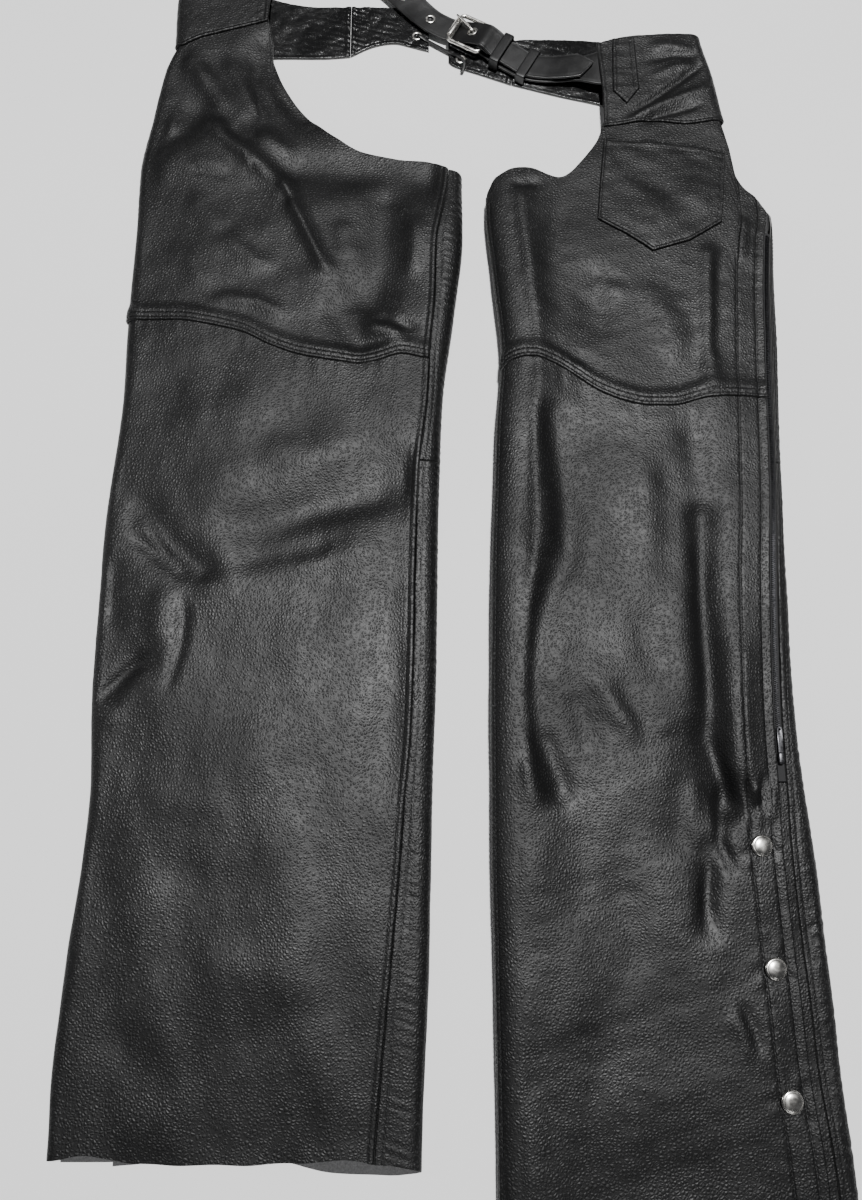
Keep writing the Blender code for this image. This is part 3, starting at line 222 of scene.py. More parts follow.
LEFT_CREASES = [
    (-1.1, 7.0, 0.6, [(190, -50), (187, -110), (188, -160), (186, -210)]),
    (0.7, 8.0, 0.3, [(200, -165), (203, -200), (199, -236), (203, -262)]),
    (-1.3, 5.0, 0.0, [(184, -212), (190, -240), (196, -266), (195, -284)]),
    (-1.0, 5.0, 0.0, [(178, -296), (173, -322), (171, -346)]),
    (-1.7, 5.0, 0.3, [(194, -240), (189, -264), (185, -288), (192, -306), (202, -316)]),
    (-0.9, 2.6, 0.0, [(207, -240), (208, -256), (210, -274)]),
    (0.9, 2.6, 0.0, [(213, -244), (212, -260), (214, -276)]),
    (-0.9, 2.6, 0.0, [(220, -238), (217, -256), (214, -272)]),
    (0.7, 2.6, 0.0, [(226, -244), (224, -262), (222, -278)]),
    (-0.8, 4.0, 0.0, [(190, -392), (197, -410), (203, -430)]),
    (0.7, 5.0, 0.0, [(182, -396), (189, -414), (194, -436)]),
    (0.9, 7.0, 0.0, [(170, -240), (166, -270), (168, -300)]),
    (0.6, 8.0, 0.3, [(28, -50), (54, -57), (80, -54)]),
    (-0.5, 6.0, 0.3, [(28, -68), (55, -77), (82, -78)]),
    (0.7, 8.0, 0.3, [(96, -160), (110, -186), (124, -206), (132, -224)]),
    (0.7, 11.0, 0.0, [(138, -174), (146, -198), (152, -218)]),
    (-0.6, 8.0, 0.0, [(80, -178), (90, -202), (95, -226)]),
    (-0.5, 7.0, 0.0, [(112, -168), (128, -192), (140, -218)]),
    (-1.0, 8.0, 0.0, [(44, -208), (62, -220), (72, -244), (74, -270)]),
    (0.9, 8.0, 0.0, [(40, -226), (50, -246), (56, -272)]),
    (0.8, 5.0, 0.4, [(247, 232), (243, 208), (238, 180)]),
    (-0.9, 6.0, 0.0, [(222, 200), (217, 160), (212, 110), (210, 74)]),
    (0.9, 12.0, 0.0, [(150, 170), (168, 140), (176, 110), (170, 80)]),
    (-1.1, 14.0, 0.0, [(120, 190), (112, 150), (116, 120), (130, 100)]),
    (-0.8, 12.0, 0.0, [(90, 260), (84, 210), (80, 160), (84, 110)]),
    (0.7, 7.0, 0.0, [(98, 150), (120, 162), (146, 150)]),
    (-0.9, 14.0, 0.0, [(104, 40), (108, 0), (104, -50)]),
    (0.8, 14.0, 0.0, [(140, 20), (150, -30), (146, -80)]),
    (-0.8, 12.0, 0.0, [(130, -110), (142, -150), (160, -176)]),
    (0.7, 14.0, 0.0, [(100, -150), (110, -190), (130, -220)]),
    (-0.8, 14.0, 0.0, [(100, -300), (120, -340), (122, -390)]),
    (0.7, 16.0, 0.0, [(70, -330), (80, -380), (76, -430)]),
    (-0.6, 14.0, 0.0, [(160, -400), (156, -440), (164, -490)]),
    (0.6, 10.0, 0.0, [(40, -440), (46, -480), (44, -520)]),
    (-0.8, 5.0, 0.0, [(44, 262), (58, 258), (74, 262)]),
    (-1.3, 3.2, 0.3, [(142, 328), (175, 350), (205, 374), (230, 395)]),
    (1.1, 4.0, 0.3, [(148, 327), (180, 344), (212, 358), (235, 366)]),
    (-1.1, 3.2, 0.0, [(158, 326), (190, 336), (226, 347)]),
    (0.9, 5.0, 0.0, [(174, 409), (198, 406), (218, 401)]),
    (-0.9, 4.0, 0.0, [(168, 391), (196, 398), (224, 398)]),
    (0.8, 4.0, 0.0, [(172, 372), (196, 384), (220, 388)]),
]


CREASE = 2.0
FOLD = 1.15


def line_frame(x, y, line):
    """Signed distance from a line and the share of its length at the nearest place."""
    best = np.full(np.shape(x), 1e9)
    signed = np.zeros(np.shape(x))
    share = np.zeros(np.shape(x))
    lengths = [math.dist(a, b) for a, b in zip(line, line[1:])]
    total, walked = sum(lengths), 0.0
    for (x0, y0), (x1, y1), length in zip(line, line[1:], lengths):
        dx, dy = (x1 - x0) / length, (y1 - y0) / length
        t = np.clip((x - x0) * dx + (y - y0) * dy, 0.0, length)
        away = np.hypot(x - x0 - t * dx, y - y0 - t * dy)
        side = (x - x0) * dy - (y - y0) * dx
        nearer = away < best
        best = np.where(nearer, away, best)
        signed = np.where(nearer, np.where(side < 0.0, -away, away), signed)
        share = np.where(nearer, (walked + t) / total, share)
        walked += length
    return signed, share


def crease_field(x, y, creases):
    total = np.zeros(np.shape(x))
    for height, width, lean, line in creases:
        xs, ys = [p[0] for p in line], [p[1] for p in line]
        near = ((x > min(xs) - 4 * width) & (x < max(xs) + 4 * width)
                & (y > min(ys) - 4 * width) & (y < max(ys) + 4 * width))
        if not near.any():
            continue
        away, share = line_frame(x[near], y[near], line)
        s = away / width
        fade = smooth(share / 0.3) * smooth((1.0 - share) / 0.3)
        total[near] += CREASE * height * fade * np.exp(-s * s) * (1.0 + lean * s)
    return total


def waves(x, y, seed, height, spacing, count=9):
    """Slow unevenness of cut leather."""
    rng = np.random.default_rng(seed)
    total = np.zeros(np.shape(x))
    for _ in range(count):
        angle = rng.uniform(0.0, math.pi)
        length = spacing * rng.uniform(0.6, 1.7)
        phase = rng.uniform(0.0, 2.0 * math.pi)
        total += np.sin(2.0 * math.pi * (x * math.cos(angle) + y * math.sin(angle)) / length + phase)
    return total * height / math.sqrt(count)


class Leg:
    """The outer skin of one leg, flattened, with the hip that continues it."""

    def __init__(self, sections, folds, creases, round_l, round_r, seed, lift=None):
        self.sections = sections
        self.folds = folds
        self.creases = creases
        self.round_l = round_l
        self.round_r = round_r
        self.lift = lift
        self.seed = seed

    def edges(self, y):
        read = self.sections.read
        left, right = read(y, "left"), read(y, "right")
        fold_l, fold_r = read(y, "fold_l"), read(y, "fold_r")
        wide_l, wide_r = fold_l * self.round_l, fold_r * self.round_r
        return left + wide_l, right - wide_r, fold_l, fold_r, wide_l, wide_r

    def arc(self, height, wide):
        return math.pi * np.sqrt((height * height / 4.0 + wide * wide) / 2.0)

    def fold_start(self, y, side):
        left, right = self.edges(y)[:2]
        return left if side < 0 else right

    def fold_arc(self, y, side):
        _, _, fold_l, fold_r, wide_l, wide_r = self.edges(y)
        return self.arc(fold_l, wide_l) if side < 0 else self.arc(fold_r, wide_r)

    def under_from_right(self, x, y):
        return self.fold_start(y, 1) + self.fold_arc(y, 1) + (self.fold_start(y, 1) - x)

    def top(self, x, y):
        left, right, fold_l, fold_r, _, _ = self.edges(y)
        t = (x - left) / (right - left)
        base = lerp(fold_l, fold_r, smooth(t))
        shoulder = smooth(t / 0.25) * smooth((1.0 - t) / 0.25)
        fade = smooth(t / 0.06) * smooth((1.0 - t) / 0.06)
        crown = self.sections.read(y, "crown")
        relief = np.zeros(np.shape(x))
        for height, width, line in self.folds:
            away, _ = line_frame(x, y, line)
            relief += FOLD * height * np.exp(-(away / width) ** 2)
        return base + (crown - base) * shoulder + relief * fade

    def bare(self, u, y):
        u, y = np.broadcast_arrays(np.asarray(u, float), np.asarray(y, float))
        left, right, fold_l, fold_r, wide_l, wide_r = self.edges(y)
        arc_l, arc_r = self.arc(fold_l, wide_l), self.arc(fold_r, wide_r)
        flat = right - left
        s = np.mod(u - left, 2.0 * flat + arc_l + arc_r)
        place = np.zeros(u.shape + (3,))
        place[..., 1] = y
        on_top = s <= flat
        on_right = (s > flat) & (s <= flat + arc_r)
        below = (s > flat + arc_r) & (s <= 2.0 * flat + arc_r)
        on_left = s > 2.0 * flat + arc_r
        angle = np.where(on_right, math.pi * (s - flat) / arc_r,
                         math.pi * (2.0 * flat + arc_r + arc_l - s) / arc_l)
        x = np.select([on_top, on_right, below], [left + s, right + wide_r * np.sin(angle),
                                                  right - (s - flat - arc_r)],
                      left - wide_l * np.sin(angle))
        start = np.where(on_right, right, left)
        low = self.under(start, y)
        height = np.where(on_right, fold_r, fold_l)
        side = low + (height - low) * 0.5 * (1.0 + np.cos(angle))
        top = self.top(x, y)
        place[..., 0] = x
        place[..., 2] = np.select([on_top, below], [top, self.under(x, y)], side)
        return place, on_top, below

    def under(self, x, y):
        return self.lift(x, self.fold_start(y, -1)) if self.lift else np.zeros(np.shape(x))

    def normal(self, u, y):
        d = 0.6
        du = self.bare(u + d, y)[0] - self.bare(u - d, y)[0]
        dv = self.bare(u, y + d)[0] - self.bare(u, y - d)[0]
        n = np.cross(du, dv)
        return n / np.linalg.norm(n, axis=-1, keepdims=True)

    def at(self, u, y, off=0.0):
        """Places on the skin, creases included, and off above it along the skin's normal."""
        u, y = np.broadcast_arrays(np.asarray(u, float), np.asarray(y, float))
        place, on_top, below = self.bare(u, y)
        normal = self.normal(u, y)
        fine = crease_field(place[..., 0], y, self.creases) + waves(u, y, self.seed, 0.55, 70.0)
        fine += waves(u, y, self.seed + 7, 0.13, 22.0)
        back = -np.abs(waves(u, y, self.seed + 3, 0.6, 120.0))
        extra = np.asarray(off, float) + np.where(below, back, fine * np.where(on_top, 1.0, 0.35))
        return place + normal * extra[..., None]

    inner = at


def zip_lift(x, start):
    return 3.6 * smooth((x - start + 26.0) / 14.0) * smooth((start + 64.0 - x) / 18.0)


# Seams and edges
RIGHT = Leg(RIGHT_SECTIONS, RIGHT_FOLDS, RIGHT_CREASES, 0.55, 0.75, 11, zip_lift)
LEFT = Leg(LEFT_SECTIONS, LEFT_FOLDS, LEFT_CREASES, 1.0, 0.65, 23)
RIGHT_INSEAM = Table("y x", [
    (-512, -60), (-432, -55), (-365, -49), (-304, -44), (-259, -41), (-213, -37), (-156, -35),
    (-86, -34), (-12, -32), (57, -25), (102, -23), (148, -19), (205, -17), (230, -13), (276, -7)])
RIGHT_KNEE = Table("x y", [
    (-300, 128), (-234, 127), (-207, 123), (-178, 116), (-152, 103), (-126, 94), (-99, 89),
    (-81, 87), (-64, 90), (-46, 95), (-22, 91)])
LEFT_ZIP_EDGE = Table("y x", [
    (-532, 240), (-505, 239), (-441, 234), (-361, 231), (-296, 229), (-254, 230), (-201, 231),
    (-146, 234), (-89, 238), (-47, 242), (4, 246), (60, 249), (91, 251), (147, 255), (204, 261),
    (232, 266)])
LEFT_KNEE = Table("x y", [
    (10, 78), (34, 82), (44, 88), (58, 91), (77, 86), (96, 75), (115, 62), (134, 54), (153, 50),
    (173, 50), (189, 54), (201, 57), (224, 58), (260, 57)])
RIGHT_SCOOP = [(-7, 276), (-24, 285), (-50, 288), (-84, 297), (-103, 309), (-120, 323),
               (-142, 348), (-157, 374), (-166, 398), (-171, 436)]
LEFT_SCOOP = [(131, 322), (126, 311), (119, 299), (108, 284), (99, 274), (90, 269), (79, 271),
              (64, 277), (48, 275), (36, 266), (27, 252)]
RIGHT_HEM = Table("u y", [
    (-300, -494), (-274, -491.8), (-252, -488.8), (-235, -490.5), (-217, -493.8), (-190, -494.5),
    (-150, -494.5), (-125, -494), (-112, -493.8), (-95, -492.2), (-81, -491.6), (-68, -492.4),
    (-60, -493.8), (-30, -495)])
RIGHT_BACK_HEM = Table("u y", [
    (-62, -494.5), (-45, -496), (-30, -499), (-15, -502.5), (0, -504), (15, -503.8), (40, -502),
    (58, -499), (72, -496.2), (100, -495.5), (150, -495.5), (172, -496.5), (190, -498), (212, -498.5),
    (240, -497)])
JOIN_Y = 2.0
BACK_HEM_DROP = 6.0


def right_inseam(y):
    return RIGHT_INSEAM.read(y, "x")


def left_inseam(y):
    return LEFT.fold_start(y, -1) - 0.42 * LEFT.fold_arc(y, -1)


def left_inseam_back(y):
    total = LEFT.under_from_right(LEFT.fold_start(y, -1), y)
    return total + 0.58 * LEFT.fold_arc(y, -1)


def right_zip_edge(y):
    turned = lerp(30.0, 14.0, smooth((y + 250.0) / 120.0))
    return RIGHT.fold_start(y, -1) - RIGHT.fold_arc(y, -1) - turned


def right_zip_back(y):
    start = RIGHT.fold_start(y, -1)
    x = start + (start - RIGHT.fold_arc(y, -1) - right_zip_edge(y)) + CHANNEL
    return RIGHT.under_from_right(x, y)


def left_zip_edge(y):
    return LEFT_ZIP_EDGE.read(y, "x")


def left_zip_back(y):
    return left_zip_edge(y) + CHANNEL


def right_hem(u):
    return RIGHT_HEM.read(u, "y") + 0.4 * np.sin(u / 7.0)


def right_back_hem(u):
    return RIGHT_BACK_HEM.read(u, "y") + 0.4 * np.sin(u / 9.0)


def left_hem(u):
    return -527.0 + 2.0 * np.sin(u / 45.0) + 0.8 * np.sin(u / 15.0 + 1.0)


def left_back_hem(u):
    return left_hem(u) - BACK_HEM_DROP


# Materials
def nodes_of(material):
    material.use_nodes = True
    tree = material.node_tree
    return tree, tree.nodes["Principled BSDF"]


def leather_material(name, dark=0.003, light=0.010, rough=(0.44, 0.53), grain=2.3, depth=1.0,
                     spread=0.55, level=0.34):
    """Pebbled full-grain leather: rounded cells with creased borders, uneven sheen."""
    material = bpy.data.materials.new(name)
    tree, shader = nodes_of(material)
    link = tree.links.new
    coords = tree.nodes.new("ShaderNodeTexCoord")
    warp = tree.nodes.new("ShaderNodeTexNoise")
    warp.inputs["Scale"].default_value = 120.0
    warp.inputs["Detail"].default_value = 2.0
    link(coords.outputs["Object"], warp.inputs["Vector"])
    shift = tree.nodes.new("ShaderNodeVectorMath")
    shift.operation = "MULTIPLY_ADD"
    shift.inputs[1].default_value = (0.0014, 0.0014, 0.0014)
    link(warp.outputs["Color"], shift.inputs[0])
    link(coords.outputs["Object"], shift.inputs[2])
    cells = tree.nodes.new("ShaderNodeTexVoronoi")
    cells.feature = "DISTANCE_TO_EDGE"
    cells.inputs["Scale"].default_value = 1000.0 / grain
    cells.inputs["Randomness"].default_value = 0.95
    link(shift.outputs[0], cells.inputs["Vector"])
    pebble = tree.nodes.new("ShaderNodeMapRange")
    pebble.interpolation_type = "SMOOTHSTEP"
    pebble.inputs["From Max"].default_value = spread
    link(cells.outputs["Distance"], pebble.inputs["Value"])
    fine = tree.nodes.new("ShaderNodeTexNoise")
    fine.inputs["Scale"].default_value = 2600.0
    fine.inputs["Detail"].default_value = 3.0
    link(coords.outputs["Object"], fine.inputs["Vector"])
    patch = tree.nodes.new("ShaderNodeTexNoise")
    patch.inputs["Scale"].default_value = 14.0
    patch.inputs["Detail"].default_value = 3.0
    link(coords.outputs["Object"], patch.inputs["Vector"])
    amount = tree.nodes.new("ShaderNodeMapRange")
    amount.inputs["From Min"].default_value = 0.3
    amount.inputs["From Max"].default_value = 0.7
    amount.inputs["To Min"].default_value = 0.7
    amount.inputs["To Max"].default_value = 1.0
    link(patch.outputs["Fac"], amount.inputs["Value"])
    height = tree.nodes.new("ShaderNodeMath")
    height.operation = "MULTIPLY"
    link(pebble.outputs["Result"], height.inputs[0])
    link(amount.outputs["Result"], height.inputs[1])
    total = tree.nodes.new("ShaderNodeMath")
    total.operation = "MULTIPLY_ADD"
    total.inputs[1].default_value = 0.12
    link(fine.outputs["Fac"], total.inputs[0])
    link(height.outputs[0], total.inputs[2])
    bump = tree.nodes.new("ShaderNodeBump")
    bump.inputs["Strength"].default_value = depth
    bump.inputs["Distance"].default_value = 0.00030
    link(total.outputs[0], bump.inputs["Height"])
    link(bump.outputs["Normal"], shader.inputs["Normal"])
    colour = tree.nodes.new("ShaderNodeMix")
    colour.data_type = "RGBA"
    colour.inputs[6].default_value = (dark, dark, dark * 1.05, 1.0)
    colour.inputs[7].default_value = (light, light, light * 1.02, 1.0)
    tint = tree.nodes.new("ShaderNodeMath")
    tint.operation = "MULTIPLY"
    link(pebble.outputs["Result"], tint.inputs[0])
    link(patch.outputs["Fac"], tint.inputs[1])
    link(tint.outputs[0], colour.inputs["Factor"])
    link(colour.outputs[2], shader.inputs["Base Color"])
    gloss = tree.nodes.new("ShaderNodeMapRange")
    gloss.inputs["From Min"].default_value = 0.35
    gloss.inputs["From Max"].default_value = 0.65
    gloss.inputs["To Min"].default_value = rough[0]
    gloss.inputs["To Max"].default_value = rough[1]
    link(patch.outputs["Fac"], gloss.inputs["Value"])
    link(gloss.outputs["Result"], shader.inputs["Roughness"])
    shader.inputs["Specular IOR Level"].default_value = level
    return material


def noise_material(name, low, high, scale, rough, metallic=0.0, bump=0.0, distance=0.0001, detail=3.0):
    """A base colour that varies between two greys or colours, with a fine surface."""
    material = bpy.data.materials.new(name)
    tree, shader = nodes_of(material)
    link = tree.links.new
    coords = tree.nodes.new("ShaderNodeTexCoord")
    noise = tree.nodes.new("ShaderNodeTexNoise")
    noise.inputs["Scale"].default_value = scale
    noise.inputs["Detail"].default_value = detail
    link(coords.outputs["Object"], noise.inputs["Vector"])
    ramp = tree.nodes.new("ShaderNodeMapRange")
    ramp.inputs["From Min"].default_value = 0.3
    ramp.inputs["From Max"].default_value = 0.7
    link(noise.outputs["Fac"], ramp.inputs["Value"])
    colour = tree.nodes.new("ShaderNodeMix")
    colour.data_type = "RGBA"
    colour.inputs[6].default_value = (*low, 1.0)
    colour.inputs[7].default_value = (*high, 1.0)
    link(ramp.outputs["Result"], colour.inputs["Factor"])
    link(colour.outputs[2], shader.inputs["Base Color"])
    gloss = tree.nodes.new("ShaderNodeMapRange")
    gloss.inputs["To Min"].default_value = rough[0]
    gloss.inputs["To Max"].default_value = rough[1]
    link(ramp.outputs["Result"], gloss.inputs["Value"])
    link(gloss.outputs["Result"], shader.inputs["Roughness"])
    shader.inputs["Metallic"].default_value = metallic
    if bump:
        tilt = tree.nodes.new("ShaderNodeBump")
        tilt.inputs["Strength"].default_value = bump
        tilt.inputs["Distance"].default_value = distance
        link(noise.outputs["Fac"], tilt.inputs["Height"])
        link(tilt.outputs["Normal"], shader.inputs["Normal"])
    return material


PANEL = leather_material("panel_leather")
TRIM = leather_material("trim_leather", dark=0.004, light=0.012, rough=(0.20, 0.36), grain=1.3, depth=0.5,
                        level=0.5)
BELT = leather_material("belt_leather", dark=0.004, light=0.010, rough=(0.30, 0.44), grain=0.8, depth=0.25,
                        level=0.45)
STRAP_EDGE = noise_material("strap_edge", (0.05, 0.05, 0.051), (0.12, 0.12, 0.12), 400.0, (0.5, 0.7),
                            bump=0.3, distance=0.0001)
SUEDE = noise_material("suede", (0.030, 0.030, 0.031), (0.065, 0.065, 0.066), 900.0, (0.85, 0.95),
                       bump=0.6, distance=0.0003)
CUT = noise_material("cut_edge", (0.10, 0.10, 0.10), (0.22, 0.22, 0.215), 500.0, (0.7, 0.9),
                     bump=0.4, distance=0.0002)
THREAD = noise_material("thread", (0.004, 0.004, 0.004), (0.012, 0.012, 0.013), 3000.0, (0.45, 0.6),
                        bump=0.5, distance=0.00008)
TAPE_CLOTH = noise_material("tape_cloth", (0.010, 0.010, 0.011), (0.024, 0.024, 0.025), 2200.0,
                            (0.8, 0.95), bump=0.8, distance=0.0001)
TEETH = noise_material("zip_teeth", (0.05, 0.05, 0.055), (0.11, 0.11, 0.115), 700.0, (0.28, 0.42), metallic=0.9)
NICKEL = noise_material("nickel_plate", (0.74, 0.72, 0.68), (0.88, 0.86, 0.82), 260.0, (0.20, 0.34),
                        metallic=1.0, bump=0.12, distance=0.00006)


# Mesh making
def finish_piece(name, verts, faces, materials, replaces, face_slots=None, angle=50.0):
    mesh = bpy.data.meshes.new(name)
    mesh.from_pydata(verts.tolist(), [], faces)
    for material in materials:
        mesh.materials.append(material)
    if face_slots is not None:
        mesh.polygons.foreach_set("material_index", np.asarray(face_slots, dtype=np.int32))
    mesh.shade_smooth()
    mesh.set_sharp_from_angle(angle=math.radians(angle))
    mesh.update()
    thing = bpy.data.objects.new(name, mesh)
    bpy.context.scene.collection.objects.link(thing)
    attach(thing, "root")
    if replaces:
        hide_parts(*replaces)
    return thing


def grid_faces(rows, cols, start=0, flip=False):
    i, j = np.meshgrid(np.arange(rows - 1), np.arange(cols - 1), indexing="ij")
    a = start + i * cols + j
    quads = np.stack([a, a + 1, a + 1 + cols, a + cols], axis=-1).reshape(-1, 4)
    return quads[:, ::-1] if flip else quads


def slab(name, outer, inner, materials, replaces=()):
    """A closed sheet between two grids of points, with its outer face, inner face and rim."""
    rows, cols = outer.shape[:2]
    count = rows * cols
    points = np.concatenate([outer.reshape(-1, 3), inner.reshape(-1, 3)])
    points[:, 2] = np.maximum(points[:, 2], 0.0)
    top = grid_faces(rows, cols)
    low = grid_faces(rows, cols, count, flip=True)
    ring = list(range(cols)) + [i * cols + cols - 1 for i in range(1, rows)]
    ring += [(rows - 1) * cols + j for j in range(cols - 2, -1, -1)]
    ring += [i * cols for i in range(rows - 2, 0, -1)]
    ring = np.array(ring)
    after = np.roll(ring, -1)
    rim = np.stack([after, ring, ring + count, after + count], axis=-1)
    faces = np.concatenate([top, low, rim]).tolist()
    slots = [0] * len(top) + [1] * len(low) + [2] * len(rim)
    return finish_piece(name, world(points), faces, materials, replaces, slots)


def wrapped(name, grid, material, replaces=(), closed=False, angle=50.0):
    """A solid from rings of points. closed joins the last ring to the first, or both ends are capped."""
    rows, cols = grid.shape[:2]
    spans = rows if closed else rows - 1
    i, j = np.meshgrid(np.arange(spans), np.arange(cols), indexing="ij")
    a, b = i * cols, (i + 1) % rows * cols
    k = (j + 1) % cols
    faces = np.stack([a + j, a + k, b + k, b + j], axis=-1).reshape(-1, 4).tolist()
    if not closed:
        faces.append(list(range(cols))[::-1])
        faces.append([(rows - 1) * cols + j for j in range(cols)])
    points = grid.reshape(-1, 3).copy()
    points[:, 2] = np.maximum(points[:, 2], 0.0)
    thing = finish_piece(name, world(points), faces, [material], replaces, angle=angle)
    return outward(thing)


def outward(thing):
    """Turn the faces to the outside."""
    work = bmesh.new()
    work.from_mesh(thing.data)
    if work.calc_volume(signed=True) < 0.0:
        bmesh.ops.reverse_faces(work, faces=work.faces)
    work.to_mesh(thing.data)
    work.free()
    return thing


def lay_sheet(u, y, rests_on):
    """Reads rests_on as a list and does nothing more with the sheet."""
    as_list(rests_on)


EDGE = (0.0, 0.35, 0.9, 1.8)


def spaced(length, step, low=EDGE, high=EDGE):
    """Shares of a length: the given distances near both ends, step apart between."""
    inner = np.linspace(low[-1], length - high[-1],
                        max(2, round((length - low[-1] - high[-1]) / step) + 1))
    return np.concatenate([low[:-1], inner, length - np.array(high[:-1])[::-1]]) / length


def rounded(d, radius=0.9):
    """Drop of a turned or rolled edge within radius of it."""
    s = np.clip(1.0 - d / radius, 0.0, 1.0)
    return -radius * (1.0 - np.sqrt(1.0 - s * s))


def bell(d, at, width):
    return np.exp(-((d - at) / width) ** 2)


def groove(d, at, depth=0.30, width=0.8):
    return -depth * bell(d, at, width)


def ripple(s, seed, spacing, count=7):
    """Uneven waves along a seam, about one high."""
    rng = np.random.default_rng(seed)
    total = np.zeros(np.shape(s))
    for _ in range(count):
        length = spacing * rng.uniform(0.6, 1.9)
        total += np.sin(2.0 * math.pi * s / length + rng.uniform(0.0, 2.0 * math.pi))
    return total / math.sqrt(count)


def panel(name, leg, low_side, high_side, bottom, top, profile, node, rests_on, step=2.5, row_step=3.0,
          near_low=EDGE, near_high=EDGE, first_rows=()):
    """A leg panel. Its sides are functions of y, its bottom and top are lines of (u, y)."""
    width = abs(float(high_side(0.0) - low_side(0.0)))
    t = spaced(width, step, near_low, near_high)

    def line_y(line):
        us, ys = np.array([p[0] for p in line]), np.array([p[1] for p in line])
        shares = (us - low_side(ys)) / (high_side(ys) - low_side(ys))
        order = np.argsort(shares, kind="stable")
        return np.interp(t, shares[order], ys[order])

    y_low, y_high = line_y(bottom), line_y(top)
    fixed = np.array([0.0, 0.4, 1.0, 2.0] + list(first_rows))
    start = fixed[-1] + 1.2
    end = np.array([2.2, 1.1, 0.45, 0.0])
    count = max(4, round(float((y_high - y_low).max() - start - end[0]) / row_step))
    rows = [y_low + d for d in fixed]
    rows += [lerp(y_low + start, y_high - end[0], m) for m in np.linspace(0.0, 1.0, count + 1)]
    rows += [y_high - d for d in end[1:]]
    y = np.stack(rows)
    low, high = low_side(y), high_side(y)
    u = lerp(low, high, t[None, :])
    for k, d in enumerate(near_low):
        u[:, k] = low[:, k] + d
    for k, d in enumerate(near_high):
        u[:, -1 - k] = high[:, -1 - k] - d
    slope = np.abs(np.gradient(y_high, t * width))
    edges = {"low": np.abs(u - low), "high": np.abs(high - u), "bottom": y - y_low[None, :],
             "top": (y_high[None, :] - y) / np.sqrt(1.0 + slope ** 2)[None, :]}
    lift, relief = profile(u, y, edges)
    thing = slab(name, leg.at(u, y, lift + relief), leg.at(u, y, lift - LEATHER), [PANEL, SUEDE, CUT],
                 [node])
    lay_sheet(u, y, rests_on)
    return thing


def line_length(line):
    return float(np.hypot(*np.diff(np.array(line, float), axis=0).T).sum())


def line_points(line, shares):
    """Points at shares of a line's length."""
    line = np.array(line, float)
    walk = np.concatenate([[0.0], np.cumsum(np.hypot(*np.diff(line, axis=0).T))])
    at = np.asarray(shares) * walk[-1]
    return np.stack([np.interp(at, walk, line[:, 0]), np.interp(at, walk, line[:, 1])], -1)


def patch(name, surface, sides, base, profile, node, rests_on, step=2.2, corner=None, wall=LEATHER,
          materials=None, near=EDGE):
    """A sheet between four lines: bottom and top run left to right, left and right run upward."""
    left, right, bottom, top = sides
    s = spaced(max(line_length(bottom), line_length(top)), step, near, near)
    t = spaced(max(line_length(left), line_length(right)), step, near, near)
    if corner is not None:
        k = bottom.index(corner)
        share = line_length(bottom[:k + 1]) / line_length(bottom)
        s[np.argmin(np.abs(s - share))] = share
    b, c, l, r = (line_points(line, v) for line, v in ((bottom, s), (top, s), (left, t), (right, t)))
    p, q = s[None, :, None], t[:, None, None]
    grid = (1 - q) * b[None] + q * c[None] + (1 - p) * l[:, None] + p * r[:, None]
    grid -= (1 - p) * (1 - q) * b[0] + p * (1 - q) * b[-1] + (1 - p) * q * c[0] + p * q * c[-1]
    u, y = grid[..., 0], grid[..., 1]
    edges = {key: np.abs(line_frame(u, y, [tuple(v) for v in line])[0])
             for key, line in (("left", left), ("right", right), ("bottom", bottom), ("top", top))}
    edges["all"] = np.minimum.reduce(list(edges.values()))
    low = base(u, y) if callable(base) else np.full(u.shape, float(base))
    relief = profile(u, y, edges)
    thing = slab(name, surface.at(u, y, low + relief), surface.inner(u, y, low - wall),
                 materials or [PANEL, SUEDE, PANEL], [node])
    lay_sheet(u, y, rests_on)
    return thing


class Floor:
    """Sheets that lie flat, with wrinkles on their upper face."""

    def __init__(self, seed):
        self.seed = seed

    def at(self, u, y, off=0.0):
        wrinkle = (0.55 * np.abs(waves(u, y, self.seed, 0.5, 26.0))
                   + 0.35 * np.abs(waves(u * 1.6, y, self.seed + 1, 0.6, 9.0)))
        return self.inner(u, y, off + wrinkle)

    def inner(self, u, y, off):
        return np.stack(np.broadcast_arrays(*(np.asarray(v, float) for v in (u, y, off))), -1)


